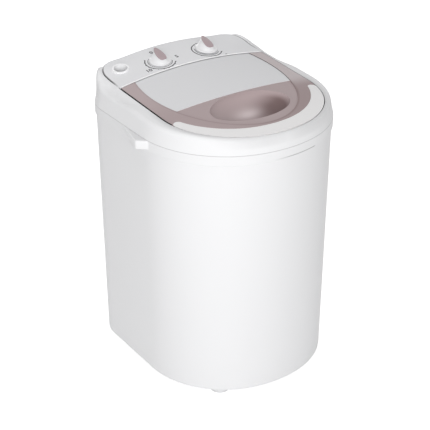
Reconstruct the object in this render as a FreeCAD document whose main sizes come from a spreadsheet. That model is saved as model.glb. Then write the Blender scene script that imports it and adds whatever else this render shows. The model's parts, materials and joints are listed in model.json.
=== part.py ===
import FreeCAD, Part
import math
import os
import Sketcher
from FreeCAD import Placement, Rotation, Vector

# Mini washing machine with one tub, a pulsator driven by a belt, a hinged lid and two knobs.
# Millimetres. The origin is on the floor under the middle of the machine, +Z up, front towards -Y.

SIZES = {
    # Plan of the outer body: flat back, straight sides, bowed front
    "body_half_width": 176.5, "side_arc_x": 13, "side_arc_y": -23, "front_radius": 209,
    "back_y": 188.4, "corner_radius": 74, "wall": 3, "draft": 5.3, "edge_round": 2,
    # Heights
    "foot_height": 12, "joint_z": 479, "band_height": 18.5, "band_proud": 2.4, "seam": 0.8,
    # Crown of the top: arcs across the machine at three stations along Y
    "front_station": -207, "front_crown_z": 504.5, "front_crown_radius": 6000,
    "hinge_station": 91, "hinge_crown_z": 532.3, "hinge_crown_radius": 800,
    "back_station": 193, "back_crown_z": 542.6, "back_crown_radius": 595,
    "crown_half": 200, "crown_base": 440,
    # Upper casing
    "casing_flare": 2.2, "casing_waist": 1.8, "casing_waist_z": 497, "casing_lean": 2.8, "casing_top": 570,
    "shoulder_side": 10, "shoulder_front": 9, "shoulder_rear": 8, "shoulder_back": 6,
    "deck_z": 497, "deck": 3, "well_wall": 2.5, "well_rear_y": 99.5, "rear_wall": 2.5,
    "shoulder_skin": 13, "shoulder_roof": 7,
    # Lid
    "lid_margin": 26.5, "lid_arc_y": -42, "lid_front_radius": 195,
    "lid_rear_y": 92.5, "lid_corner": 3, "lid_gap": 1.5, "lid_skin": 3, "lid_wall": 2.5, "lid_lift": 0.4,
    "lid_flange": 12, "trim_width": 28, "trim_tip": 16, "trim_start": -71, "trim_seam": 0.3,
    "recess_half_width": 128, "recess_half_length": 178, "recess_y": 33, "recess_depth": 2,
    "inlay_front_y": -33, "inlay_thick": 1, "inlay_gap": 0.4, "inlay_lift": 0.1,
    "scoop_half_width": 78, "scoop_half_length": 46, "scoop_depth": 26, "scoop_y": -80, "scoop_rise": 4,
    "scoop_tilt": 9,
    # Lid hinge
    "hinge_y": 80.5, "hinge_z": 518, "hinge_x": 65, "pin_radius": 2.5, "run_clear": 0.05,
    "knuckle_radius": 5, "knuckle_half": 5, "ear_thick": 3.5, "ear_clear": 0.5, "post_depth": 9.5,
    "skirt_rear_y": 65.5, "skirt_rear_z": 507, "rear_rib_z": 520,
    # Control panel
    "panel_margin": 26.5, "panel_front_y": 94, "panel_back_y": 181, "panel_corner": 38,
    "panel_thick": 3, "panel_proud": 1, "panel_gap": 0.5, "panel_ledge": 6,
    "lip_thick": 1.4, "lip_depth": 1.6,
    # Knobs and what they turn
    "dial_x": 49, "dial_y": 125, "knob_radius": 23, "knob_skirt": 2.5, "knob_float": 0.8,
    "pointer_half_length": 18.5, "pointer_half_width": 8, "pointer_z": 14, "pointer_tilt": 14,
    "pointer_thick": 1.8, "dial_shaft_radius": 3, "dial_shaft_grip": 6, "dial_hole_clear": 0.6,
    "switch_gap": 0.4, "timer_side": 44, "timer_depth": 20, "selector_side": 36, "selector_depth": 18,
    "neck_radius": 9, "neck_height": 5,
    # Water inlet
    "inlet_x": -118, "inlet_y": 145, "inlet_radius": 12, "inlet_wall": 2, "inlet_lip": 3,
    "inlet_lip_height": 2, "inlet_lip_clear": 0.1, "inlet_depth": 22, "spout_radius": 6,
    "spout_wall": 1.5, "spout_reach_x": 36,
    "spout_z": 511,
    # Wash tub
    "tub_y": -43, "tub_top_radius": 134, "tub_floor_radius": 122, "tub_wall": 2.5, "tub_top_z": 492,
    "tub_floor_z": 128, "tub_floor": 3, "tub_round": 14, "mouth_radius": 125, "flange_thick": 3,
    "flange_clear": 0.3, "rim_ledge": 2, "seal_width": 5,
    # Base
    "base_recess": 2, "base_thick": 3, "base_clear": 0.5, "ledge_width": 12, "ledge_thick": 5,
    "front_foot_inset": 82.5, "front_foot_y": -128, "rear_foot_inset": 51.5, "rear_foot_y": 118,
    "foot_top_radius": 19.5, "foot_floor_radius": 17, "screw_head": 4, "screw_head_height": 2.4,
    "screw_radius": 1.9, "screw_hole_clear": 0.15, "screw_length": 10, "base_screw_count": 8,
    # Pulsator and its drive
    "shaft_radius": 6, "shaft_low_z": 23, "shaft_top_z": 146, "pulsator_radius": 78, "pulsator_z": 139,
    "pulsator_thick": 4, "hub_radius": 14, "hub_low_z": 137.5, "hump_length": 28, "hump_width": 10,
    "hump_height": 17, "hump_place": 44, "hump_count": 4, "dome_radius": 24, "dome_height": 13,
    "slip_clear": 0.05, "cap_screw_radius": 2.5, "cap_head_radius": 7, "cap_head_height": 4,
    "cap_screw_length": 18,
    "housing_radius": 19, "housing_low_z": 62, "housing_flange": 45, "housing_flange_thick": 6,
    "neck_fit_radius": 17, "neck_top_z": 136, "bush_radius": 10, "bush_length": 16, "bore_relief": 8,
    "seal_radius": 13, "seal_height": 6, "housing_screw_circle": 34, "housing_screw_count": 4,
    "housing_screw_length": 7.5, "tub_screw_depth": 2,
    "belt_z": 37, "belt_height": 8.4, "belt_thick": 4.5, "belt_clear": 0.3, "pulley_height": 14,
    "groove_depth": 6, "driven_radius": 70, "driven_hub": 16, "web_thick": 6, "web_hole": 13,
    "web_hole_circle": 37, "web_hole_count": 6, "nut_radius": 10, "nut_height": 6,
    "motor_y": 93, "motor_pulley_radius": 18, "motor_shaft_radius": 5, "motor_low_z": 53,
    "motor_top_z": 118, "motor_radius": 46, "end_cap": 13, "end_cap_wall": 3, "rotor_radius": 24,
    "air_gap": 0.5, "rotor_margin": 3, "bracket_thick": 3, "bracket_half_x": 60, "bracket_half_y": 48,
    "post_x": 50, "post_y": 38, "post_radius": 7, "bracket_hole": 22,
    "capacitor_radius": 17, "capacitor_height": 58, "capacitor_inset": 66.5, "capacitor_y": 98,
    # Drain and cord passages in the back
    "drain_x": 65, "drain_port_y": 22, "drain_z": 75, "drain_radius": 11, "drain_wall": 2, "drain_bend": 25,
    "outlet_neck": 14, "outlet_flange": 20, "outlet_flange_thick": 3, "outlet_bore": 10, "outlet_depth": 14,
    "pipe_seat": 5, "back_clear": 0.4,
    "gland_x": -70, "gland_neck": 8, "gland_flange": 12, "gland_bore": 4,
    # Side lugs for lifting
    "lug_rear_y": 55, "lug_front_y": -42, "lug_reach": 15.5, "lug_front_ramp": 15,
    "lug_rear_ramp": 80, "lug_height": 16,
}

os.makedirs("parts", exist_ok=True)
doc = FreeCAD.newDocument("mini_washing_machine")
sheet = doc.addObject("Spreadsheet::Sheet", "Size")
for row, (alias, value) in enumerate(SIZES.items(), start=1):
    sheet.set("A%d" % row, alias)
    sheet.set("B%d" % row, str(value))
    sheet.setAlias("B%d" % row, alias)
doc.recompute()


class Size:
    """A size that holds its number and the sheet expression that drives it."""

    def __init__(self, text, number):
        self.text = text
        self.number = number

    @staticmethod
    def of(value):
        return value if isinstance(value, Size) else Size(repr(float(value)), float(value))

    def __add__(self, other):
        other = Size.of(other)
        return Size("(%s + %s)" % (self.text, other.text), self.number + other.number)

    def __sub__(self, other):
        other = Size.of(other)
        return Size("(%s - %s)" % (self.text, other.text), self.number - other.number)

    def __mul__(self, other):
        other = Size.of(other)
        return Size("(%s * %s)" % (self.text, other.text), self.number * other.number)

    def __truediv__(self, other):
        other = Size.of(other)
        return Size("(%s / %s)" % (self.text, other.text), self.number / other.number)

    def __radd__(self, other):
        return Size.of(other) + self

    def __rsub__(self, other):
        return Size.of(other) - self

    def __rmul__(self, other):
        return Size.of(other) * self

    def __neg__(self):
        return Size.of(0) - self

    def root(self):
        return Size("sqrt(%s)" % self.text, math.sqrt(self.number))


class Sheet:
    """Sizes by name, read back from the sheet."""

    def __getattr__(self, alias):
        return Size("Size." + alias, float(sheet.get(alias)))


S = Sheet()
side_radius = S.body_half_width - S.side_arc_x
lid_half_width = S.body_half_width - S.lid_margin
lid_side_radius = lid_half_width - S.side_arc_x
panel_half_width = S.body_half_width - S.panel_margin
PIECES = {}


def tie(thing, path, size):
    thing.setExpression(path, Size.of(size).text)


def put(thing, at):
    for axis, size in zip("xyz", at):
        tie(thing, "Placement.Base." + axis, size)
    return thing


def solid(kind, name, at, **sizes):
    thing = doc.addObject("Part::" + kind, name)
    for path, size in sizes.items():
        tie(thing, path, size)
    return put(thing, at)


def cylinder(name, radius, low, high, x=0, y=0):
    return solid("Cylinder", name, (x, y, low), Radius=radius, Height=Size.of(high) - low)


def cone(name, low_radius, high_radius, low, high, x=0, y=0):
    return solid("Cone", name, (x, y, low), Radius1=low_radius, Radius2=high_radius,
                 Height=Size.of(high) - low)


def box(name, low, high):
    span = [Size.of(b) - a for a, b in zip(low, high)]
    return solid("Box", name, low, Length=span[0], Width=span[1], Height=span[2])


def turned(thing, axis, angle):
    """The same primitive with its own Z turned about an axis through its base point."""
    thing.Placement = Placement(thing.Placement.Base, Rotation(axis, angle))
    return thing


def fuse(name, *parts):
    thing = doc.addObject("Part::MultiFuse", name)
    thing.Shapes = list(parts)
    return thing


def common(name, first, second):
    thing = doc.addObject("Part::MultiCommon", name)
    thing.Shapes = [first, second]
    return thing


def cut(name, base, *tools):
    thing = doc.addObject("Part::Cut", name)
    thing.Base = base
    thing.Tool = tools[0] if len(tools) == 1 else fuse(name + "_tools", *tools)
    return thing


def group(name, parts):
    thing = doc.addObject("Part::Compound", name)
    thing.Links = list(parts)
    return thing


def piece(node, thing):
    thing.Label = node
    PIECES[node] = thing
    return thing


def arc_between(start, end, radius, clockwise):
    """Arc of under half a turn from start to end, centre on the left unless clockwise."""
    if clockwise:
        start, end = end, start
    chord = end - start
    rise = math.sqrt(max(radius * radius - chord.Length ** 2 / 4, 0))
    left = Vector(-chord.y, chord.x, 0).normalize()
    centre = (start + end) * 0.5 + left * rise
    first = math.atan2(start.y - centre.y, start.x - centre.x)
    last = math.atan2(end.y - centre.y, end.x - centre.x)
    return Part.ArcOfCircle(Part.Circle(centre, Vector(0, 0, 1), radius), first, last)


def loop_sketch(name, corners, placement=Placement()):
    """Closed outline. Each corner is (x, y) or (x, y, radius of the arc to the next corner, clockwise)."""
    sketch = doc.addObject("Sketcher::SketchObject", name)
    sketch.Placement = placement
    points = [Vector(Size.of(c[0]).number, Size.of(c[1]).number, 0) for c in corners]
    ends = []
    for index, corner in enumerate(corners):
        start, end = points[index], points[(index + 1) % len(points)]
        clockwise = len(corner) > 3 and corner[3]
        if len(corner) > 2:
            sketch.addGeometry(arc_between(start, end, Size.of(corner[2]).number, clockwise), False)
        else:
            sketch.addGeometry(Part.LineSegment(start, end), False)
        ends.append((2, 1) if clockwise else (1, 2))
    for index, corner in enumerate(corners):
        following = (index + 1) % len(corners)
        sketch.addConstraint(Sketcher.Constraint("Coincident", index, ends[index][1], following,
                                                 ends[following][0]))
        for kind, size in (("DistanceX", corner[0]), ("DistanceY", corner[1])):
            size = Size.of(size)
            rule = Sketcher.Constraint(kind, -1, 1, index, ends[index][0], size.number)
            tie(sketch, "Constraints[%d]" % sketch.addConstraint(rule), size)
        if len(corner) > 2:
            size = Size.of(corner[2])
            rule = Sketcher.Constraint("Radius", index, size.number)
            tie(sketch, "Constraints[%d]" % sketch.addConstraint(rule), size)
    return sketch


def extruded(name, sketch, height, low=None):
    if low is not None:
        tie(sketch, "Placement.Base.z", low)
    thing = doc.addObject("Part::Extrusion", name)
    thing.Base = sketch
    thing.DirMode = "Normal"
    thing.Solid = True
    tie(thing, "LengthFwd", height)
    return thing


def loft(name, sections, ruled):
    thing = doc.addObject("Part::Loft", name)
    thing.Sections = sections
    thing.Solid = True
    thing.Ruled = ruled
    return thing


class Plan:
    """Plan outline with a flat back, rear corner arcs, straight sides, side arcs and a bowed front."""

    def __init__(self, half_width, side_radius, arc_y, front_radius, back_y, corner):
        self.half_width, self.side_radius, self.arc_y = half_width, side_radius, arc_y
        self.front_radius, self.back_y, self.corner = front_radius, back_y, corner
        self.arc_x = half_width - side_radius
        reach = front_radius - side_radius
        self.fall = (reach * reach - self.arc_x * self.arc_x).root()
        self.front_centre_y = arc_y + self.fall
        self.reach = reach

    def sketch(self, name, inset=0, z=0):
        inset = Size.of(inset)
        half = self.half_width - inset
        back = self.back_y - inset
        corner = self.corner - inset
        front = self.front_radius - inset
        meet_x = self.arc_x / self.reach * front
        meet_y = self.front_centre_y - self.fall / self.reach * front
        turn_x = self.half_width - self.corner
        turn_y = self.back_y - self.corner
        side = self.side_radius - inset
        corners = [
            (half, self.arc_y), (half, turn_y, corner), (turn_x, back), (-turn_x, back, corner),
            (-half, turn_y), (-half, self.arc_y, side), (-meet_x, meet_y, front), (meet_x, meet_y, side)]
        sketch = loop_sketch(name, corners)
        tie(sketch, "Placement.Base.z", z)
        return sketch

    def inner(self, inset):
        """The same outline further in, its rear corners as tight as before."""
        return Plan(self.half_width - inset, self.side_radius - inset, self.arc_y, self.front_radius - inset,
                    self.back_y - inset, self.corner)

    def prism(self, name, low, high, inset=0):
        return extruded(name, self.sketch(name + "_plan", inset, low), Size.of(high) - low)


BODY = Plan(S.body_half_width, side_radius, S.side_arc_y, S.front_radius, S.back_y, S.corner_radius)
LID = Plan(lid_half_width, lid_side_radius, S.lid_arc_y, S.lid_front_radius, S.lid_rear_y, S.lid_corner)
WELL = Plan(lid_half_width, lid_side_radius, S.lid_arc_y, S.lid_front_radius,
            S.well_rear_y - S.lid_gap, S.lid_corner)
BLOCK = Plan(lid_half_width, lid_side_radius, S.lid_arc_y, S.lid_front_radius,
             S.panel_back_y - S.lid_gap, S.panel_corner)
ACROSS = Rotation(Vector(1, 0, 0), 90)


def crown(name, drop):
    """Everything under the crowned top surface, lowered by drop."""
    sections = []
    for station in ("front", "hinge", "back"):
        radius = getattr(S, station + "_crown_radius")
        top = getattr(S, station + "_crown_z") - drop
        half = S.crown_half
        edge = top - radius + (radius * radius - half * half).root()
        corners = [(half, edge, radius), (-half, edge), (-half, S.crown_base), (half, S.crown_base)]
        section = loop_sketch(name + "_" + station, corners, Placement(Vector(), ACROSS))
        tie(section, "Placement.Base.y", getattr(S, station + "_station"))
        sections.append(section)
    return loft(name, sections, False)


CROWN = crown("crown", 0)
doc.recompute()


def height_at(x, y, form=None):
    """Height of the crowned surface over a point of the plan."""
    upright = Part.makeLine(Vector(x, y, S.crown_base.number + 1), Vector(x, y, S.casing_top.number + 50))
    return (form or CROWN).Shape.common(upright).BoundBox.ZMax


def normal_at(x, y, step=8.0):
    along_x = height_at(x + step, y) - height_at(x - step, y)
    along_y = height_at(x, y + step) - height_at(x, y - step)
    return Vector(-along_x, -along_y, 2 * step).normalize()


def slab(name, prism, top, floor):
    """The part of a prism that lies between two crowned surfaces."""
    return cut(name, common(name + "_crowned", prism, top), floor)


def near_edges(thing, test):
    """Numbers of the edges whose middle passes the test."""
    found = []
    for number, edge in enumerate(thing.Shape.Edges, start=1):
        middle = edge.valueAt((edge.FirstParameter + edge.LastParameter) / 2)
        if test(middle, edge):
            found.append(number)
    return found


def fillet(name, base, radii):
    """Rounded edges, each as (number, first radius, last radius)."""
    thing = doc.addObject("Part::Fillet", name)
    thing.Base = base
    thing.Edges = radii
    return thing


# Outer body: drafted shell, rim band with an inner ledge for the tub, base ledge and two lifting lugs
BAND_Z = S.joint_z - S.band_height
LEDGE_Z = S.joint_z - S.flange_thick
BASE_TOP = S.foot_height + S.base_recess + S.base_thick


def body_inset(z):
    """Inset of the drafted wall at a height."""
    return S.draft * (BAND_Z - z) / (BAND_Z - S.foot_height)


def drafted(name, inset, low, high):
    sections = [BODY.sketch(name + "_low", body_inset(low) + inset, low),
                BODY.sketch(name + "_high", body_inset(high) + inset, high)]
    return loft(name, sections, True)


def lug(name, side):
    """Lug under the joint: a wedge that grows from the rear and ends in a steep front face."""
    near = S.body_half_width * side
    far = near + (S.band_proud + S.lug_reach) * side
    low = S.joint_z - S.seam - S.lug_height
    corners = [(near, S.lug_front_y), (far, S.lug_front_y + S.lug_front_ramp),
               (far, S.lug_rear_y - S.lug_rear_ramp), (near, S.lug_rear_y)]
    plan = loop_sketch(name + "_plan", corners if side > 0 else corners[::-1])
    return extruded(name, plan, S.lug_height, low)


shell = drafted("shell", 0, S.foot_height, BAND_Z)
doc.recompute()
bottom = near_edges(shell, lambda m, e: abs(m.z - S.foot_height.number) < 0.01)
shell = fillet("shell_round", shell, [(n, S.edge_round.number, S.edge_round.number) for n in bottom])
band = BODY.prism("band", BAND_Z, S.joint_z, -S.band_proud)
doc.recompute()
rims = near_edges(band, lambda m, e: abs(m.z - S.joint_z.number) < 0.01 or abs(m.z - BAND_Z.number) < 0.01)
rim_chamfer = doc.addObject("Part::Chamfer", "band_edges")
rim_chamfer.Base = band
rim_chamfer.Edges = [(n, S.seam.number, S.seam.number) for n in rims]
hollow = drafted("hollow", S.wall, S.foot_height, BAND_Z)
hollow_band = BODY.prism("hollow_band", BAND_Z, S.joint_z, S.wall)
hollow_rim = BODY.prism("hollow_rim", LEDGE_Z, S.joint_z, S.wall - S.rim_ledge)
shell_hollow = cut("shell_hollow", fuse("shell_solid", shell, rim_chamfer), hollow, hollow_band, hollow_rim)
ledge_plate = BODY.prism("ledge_plate", BASE_TOP, BASE_TOP + S.ledge_thick, S.draft + S.wall / 2)
ledge_hole = BODY.prism("ledge_hole", BASE_TOP, BASE_TOP + S.ledge_thick, S.draft + S.wall + S.ledge_width)
base_ledge = cut("base_ledge", ledge_plate, ledge_hole)
lugs = [cut(name, lug(name + "_wedge", side), hollow_band) for name,
        side in (("left_lug", -1), ("right_lug", 1))]
body_solid = fuse("body_solid", shell_hollow, base_ledge, *lugs)


def back_face(z):
    return S.back_y - body_inset(z)


def along_back(name, radius, start, end, x, z):
    """Cylinder along +Y."""
    thing = turned(doc.addObject("Part::Cylinder", name), Vector(1, 0, 0), -90)
    tie(thing, "Radius", radius)
    tie(thing, "Height", Size.of(end) - start)
    return put(thing, (x, start, z))


def base_screw_places(count, steps=90):
    """Places of the base screws, evenly along the ledge from either side of the back's middle."""
    plan = BODY.sketch("base_screw_line", S.draft + S.wall + S.ledge_width / 2)
    doc.recompute()
    wire = Part.Wire(Part.__sortEdges__(plan.Shape.Edges))
    points = wire.discretize(Number=2 * steps * count + 1)[:-1]
    middle = min(range(len(points)), key=lambda i: abs(points[i].x) - points[i].y)
    return [points[(middle + steps + 2 * steps * i) % len(points)] for i in range(count)]


screw_places = base_screw_places(int(S.base_screw_count.number))
screw_holes = []
for index, place in enumerate(screw_places):
    screw_holes.append(cylinder("ledge_hole_%d" % index, S.screw_radius + S.screw_hole_clear, BASE_TOP - 1,
                                BASE_TOP + S.ledge_thick + 1, place.x, place.y))
back_start = S.back_y - S.draft - 2 * S.wall
outlet_hole = along_back("outlet_hole", S.outlet_neck + S.back_clear, back_start, S.back_y, S.drain_x,
                         S.drain_z)
gland_hole = along_back("gland_hole", S.gland_neck + S.back_clear, back_start, S.back_y, S.gland_x,
                        S.drain_z)
piece("outer_body", cut("outer_body", body_solid, outlet_hole, gland_hole, *screw_holes))

# Base cover with the motor posts, its feet and screws
BASE_LOW = S.foot_height + S.base_recess
POST_TOP = S.motor_low_z - S.bracket_thick
base_plate = BODY.prism("base_plate", BASE_LOW, BASE_TOP, S.draft + S.wall + S.base_clear)
post_places = [(S.post_x * sx, S.motor_y + S.post_y * sy) for sx in (-1, 1) for sy in (-1, 1)]
posts = [cylinder("post_%d" % i, S.post_radius, BASE_LOW + S.base_thick / 2, POST_TOP, x, y)
         for i, (x, y) in enumerate(post_places)]
post_holes = [cylinder("post_hole_%d" % i, S.screw_radius + S.screw_hole_clear, POST_TOP - S.screw_length,
                       POST_TOP + 1, x, y) for i, (x, y) in enumerate(post_places)]
cover_holes = [cylinder("cover_hole_%d" % i, S.screw_radius + S.screw_hole_clear, BASE_LOW - 1,
                        BASE_TOP + 1, p.x, p.y)
               for i, p in enumerate(screw_places)]
piece("base_cover", cut("base_cover", fuse("base_with_posts", base_plate, *posts),
                        *(post_holes + cover_holes)))

front_foot_x = S.body_half_width - S.front_foot_inset
rear_foot_x = S.body_half_width - S.rear_foot_inset
foot_places = [(front_foot_x * s, S.front_foot_y) for s in (-1, 1)]
foot_places += [(rear_foot_x * s, S.rear_foot_y) for s in (-1, 1)]
feet = [cone("foot_%d" % i, S.foot_floor_radius, S.foot_top_radius, 0, BASE_LOW, x, y)
        for i, (x, y) in enumerate(foot_places)]
piece("rubber_feet", group("rubber_feet", feet))


def screw(name, head_z, length, x, y, up):
    """Pan-head screw whose head bears at head_z and whose shank points up or down."""
    if up:
        head = cylinder(name + "_head", S.screw_head, head_z - S.screw_head_height, head_z, x, y)
        shank = cylinder(name + "_shank", S.screw_radius, head_z - S.screw_head_height / 2,
                         head_z + length, x, y)
    else:
        head = cylinder(name + "_head", S.screw_head, head_z, head_z + S.screw_head_height, x, y)
        shank = cylinder(name + "_shank", S.screw_radius, head_z - length,
                         head_z + S.screw_head_height / 2, x, y)
    return fuse(name, head, shank)


base_screw_length = S.base_thick + S.ledge_thick
piece("base_screws", group("base_screws", [
    screw("base_screw_%d" % i, BASE_LOW, base_screw_length, p.x, p.y,
          True) for i, p in enumerate(screw_places)]))

def around(count, radius, x=0, y=0, phase=0.0):
    """Places evenly round a circle, as sizes."""
    places = []
    for index in range(count):
        angle = 2 * math.pi * index / count + phase
        places.append((radius * math.cos(angle) + x, radius * math.sin(angle) + y))
    return places


housing_places = around(int(S.housing_screw_count.number), S.housing_screw_circle, y=S.tub_y,
                        phase=math.pi / 4)

# Wash tub hung from its flange on the rim ledge, with its rim seal
tub_outer = cone("tub_outer", S.tub_floor_radius, S.tub_top_radius, S.tub_floor_z, S.tub_top_z, y=S.tub_y)
tub_inner = cone("tub_inner", S.tub_floor_radius - S.tub_wall, S.tub_top_radius - S.tub_wall,
                 S.tub_floor_z + S.tub_floor, S.tub_top_z, y=S.tub_y)
doc.recompute()


def round_low_edge(name, base, z, radius):
    low = near_edges(base, lambda m, e: abs(m.z - z.number) < 0.01 and e.Length > 1)
    return fillet(name, base, [(n, radius.number, radius.number) for n in low[:1]])


tub_outer = round_low_edge("tub_outer_round", tub_outer, S.tub_floor_z, S.tub_round + S.tub_wall)
tub_inner = round_low_edge("tub_inner_round", tub_inner, S.tub_floor_z + S.tub_floor, S.tub_round)
tub_flange = BODY.prism("tub_flange", LEDGE_Z, S.joint_z, S.wall - S.rim_ledge + S.flange_clear)
neck_hole = cylinder("neck_hole", S.neck_fit_radius + S.slip_clear, S.tub_floor_z - 1, S.neck_top_z,
                     y=S.tub_y)
drain_hole = cylinder("drain_hole", S.drain_radius - S.drain_wall, S.tub_floor_z - 1,
                      S.tub_floor_z + S.tub_round,
                      S.drain_x, S.drain_port_y)
tub_screw_holes = [cylinder("tub_screw_hole_%d" % i, S.screw_radius + S.screw_hole_clear, S.tub_floor_z - 1,
                            S.tub_floor_z + S.tub_screw_depth, x, y) for i, (
                                x, y) in enumerate(housing_places)]
piece("wash_tub", cut("wash_tub", fuse("tub_solid", tub_outer, tub_flange), tub_inner, neck_hole, drain_hole,
                      *tub_screw_holes))
DECK_LOW = S.deck_z - S.deck
seal_ring = cylinder("seal_ring", S.tub_top_radius, S.tub_top_z, DECK_LOW, y=S.tub_y)
seal_bore = cylinder("seal_bore", S.tub_top_radius - S.seal_width, S.tub_top_z, DECK_LOW, y=S.tub_y)
piece("tub_rim_seal", cut("tub_rim_seal", seal_ring, seal_bore))

# Upper casing: flared wall, soft shoulder, lid well, deck round the tub mouth and the control box
casing_wall = loft("casing_wall", [
    BODY.sketch("casing_foot", -S.casing_flare, S.joint_z), BODY.sketch(
        "casing_waist", S.casing_waist, S.casing_waist_z),
    BODY.sketch("casing_head", S.casing_lean, S.casing_top)], False)
casing_blank = common("casing_blank", casing_wall, CROWN)
doc.recompute()


def shoulder_radii(blank):
    """Shoulder rounding: wide along the sides, tighter at the front and rear."""
    radii = []
    side, rear = S.shoulder_side.number, S.shoulder_rear.number
    front, back = S.shoulder_front.number, S.shoulder_back.number
    bow_y = S.side_arc_y.number
    corner_y = (S.back_y - S.corner_radius).number

    def radius_at(point):
        if point.y < bow_y - 0.5:
            return side + (front - side) * min((bow_y - point.y) / (0.8 * side_radius.number), 1.0)
        if point.y < corner_y + 0.5:
            return side + (rear - side) * (point.y - bow_y) / (corner_y - bow_y)
        return rear + (back - rear) * min((point.y - corner_y) / (0.9 * S.corner_radius.number), 1.0)

    for number in near_edges(blank, lambda m, e: on_crown_edge(blank, m)):
        edge = blank.Shape.Edges[number - 1]
        first = edge.valueAt(edge.FirstParameter)
        last = edge.valueAt(edge.LastParameter)
        radii.append((number, radius_at(first), radius_at(last)))
    return radii


def on_crown_edge(blank, point):
    return point.z > S.casing_waist_z.number and abs(height_at(point.x, point.y) - point.z) < 1.0


casing_round = fillet("casing_round", casing_blank, shoulder_radii(casing_blank))
doc.recompute()
if casing_round.Shape.isNull() or not casing_round.Shape.isValid():
    even = S.shoulder_front.number
    casing_round.Edges = [(entry[0], even, even) for entry in casing_round.Edges]
    doc.recompute()
under_deck = BODY.prism("under_deck", S.joint_z, DECK_LOW, S.wall)
under_shoulder = common("under_shoulder",
                        BODY.prism("shoulder_room", S.joint_z, S.casing_top, S.shoulder_skin),
                        crown("shoulder_ceiling", S.shoulder_roof))
casing_shell = cut("casing_shell", casing_round, under_deck, under_shoulder)
block = common("block", BLOCK.prism("block_prism", DECK_LOW, S.casing_top, -S.lid_gap - S.well_wall),
               casing_round)
casing_solid = fuse("casing_solid", casing_shell, block)
lid_well = WELL.prism("lid_well", S.deck_z, S.casing_top, -S.lid_gap)


def panel_outline(name, grow, front):
    """Panel plan: straight front, rounded rear corners."""
    half = panel_half_width + grow
    back = S.panel_back_y + grow
    turn_x = panel_half_width - S.panel_corner
    turn_y = S.panel_back_y - S.panel_corner
    corner = S.panel_corner + grow
    return loop_sketch(name, [(half, front), (half, turn_y, corner), (turn_x, back), (-turn_x, back, corner),
                              (-half, turn_y), (-half, front)])


box_front = S.well_rear_y + S.rear_wall
control_box = extruded("control_box", panel_outline("control_box_plan", -S.panel_ledge, box_front),
                       S.casing_top - S.deck_z, S.deck_z)
seat_floor = crown("seat_floor", S.panel_thick - S.panel_proud)
panel_recess = cut("panel_recess", extruded(
    "recess_prism", panel_outline("recess_plan", S.panel_gap,
                                  S.panel_front_y - S.lid_gap), S.casing_top - S.deck_z,
    S.deck_z), seat_floor)
mouth = cylinder("mouth", S.mouth_radius, DECK_LOW - 1, S.deck_z + 1, y=S.tub_y)
SPOUT_FROM = (S.inlet_x, S.inlet_y, S.spout_z)
SPOUT_TO_X = S.inlet_x + S.spout_reach_x


def along_spout(name, radius, start, end):
    """Cylinder on the spout's line, between two shares of the way to the well."""
    run = Vector(SPOUT_TO_X.number - S.inlet_x.number, S.well_rear_y.number - S.inlet_y.number, 0)
    thing = doc.addObject("Part::Cylinder", name)
    thing.Placement = Placement(Vector(), Rotation(Vector(0, 0, 1), run))
    tie(thing, "Radius", radius)
    thing.Height = run.Length * (end - start)
    return put(thing,
               (S.inlet_x + S.spout_reach_x * start, S.inlet_y + (S.well_rear_y - S.inlet_y) * start,
                S.spout_z))


spout_hole = along_spout("spout_hole", S.spout_radius + S.spout_wall + S.back_clear, 0.6, 1.4)
inlet_hole = cylinder("inlet_hole", S.inlet_radius + S.inlet_wall + S.back_clear, S.deck_z, S.casing_top,
                      S.inlet_x, S.inlet_y)
piece("upper_casing", cut("upper_casing", casing_solid, lid_well, control_box, panel_recess, mouth,
                          spout_hole, inlet_hole))

# Control panel, seated in the casing's recess
panel_blank = extruded("panel_blank", panel_outline("panel_plan", Size.of(0), S.panel_front_y),
                       S.casing_top - S.deck_z,
                       S.deck_z)
panel_top = crown("panel_top", -S.panel_proud)
panel_skin = cut("panel_skin", common("panel_crowned", panel_blank, panel_top), seat_floor)
lip_cut = common("lip_cut", box("lip_block", (-panel_half_width, S.panel_front_y - 1, S.deck_z),
                                (panel_half_width, S.panel_front_y + S.lip_depth, S.casing_top)),
                 crown("lip_ceiling", S.lip_thick - S.panel_proud))
doc.recompute()


def dial_seat(side):
    """Point on the panel under a knob, and the way the knob points."""
    x, y = S.dial_x.number * side, S.dial_y.number
    return Placement(Vector(x, y, height_at(x, y, panel_top)), Rotation(Vector(0, 0, 1), normal_at(x, y)))


SEATS = {"timer": dial_seat(-1), "selector": dial_seat(1)}


def at_seat(thing, seat):
    thing.Placement = seat
    return thing


dial_holes = [at_seat(group(name + "_hole",
                            [cylinder(name + "_hole_tool", S.dial_shaft_radius + S.dial_hole_clear, -20,
                                      20)]),
                      seat) for name, seat in SEATS.items()]
piece("control_panel", cut("control_panel", panel_skin, lip_cut, inlet_hole, *dial_holes))

# Water inlet: filling cup with a lip on the panel and a spout into the lid well
INLET_TOP = height_at(S.inlet_x.number, S.inlet_y.number, panel_top)
LIP_LIFT = S.panel_proud + S.inlet_lip_clear
lip_floor = crown("inlet_lip_floor", -LIP_LIFT)
lip_top = crown("inlet_lip_top", -LIP_LIFT - S.inlet_lip_height)
cup_outer = common("cup_outer",
                   cylinder("cup_wall", S.inlet_radius + S.inlet_wall, INLET_TOP - S.inlet_depth,
                                         S.casing_top, S.inlet_x, S.inlet_y), lip_top)
cup_lip = slab("cup_lip", cylinder("cup_lip_disc", S.inlet_radius + S.inlet_lip, S.deck_z, S.casing_top,
                                   S.inlet_x, S.inlet_y), lip_top, lip_floor)
cup_bore = cylinder("cup_bore", S.inlet_radius, INLET_TOP - S.inlet_depth + S.inlet_wall,
                    S.casing_top,
                    S.inlet_x, S.inlet_y)
spout = along_spout("spout", S.spout_radius + S.spout_wall, 0, 1)
spout_bore = along_spout("spout_bore", S.spout_radius, 0, 1.1)
piece("water_inlet", cut("water_inlet", fuse("cup_solid", cup_outer, cup_lip, spout), cup_bore, spout_bore))

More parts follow.
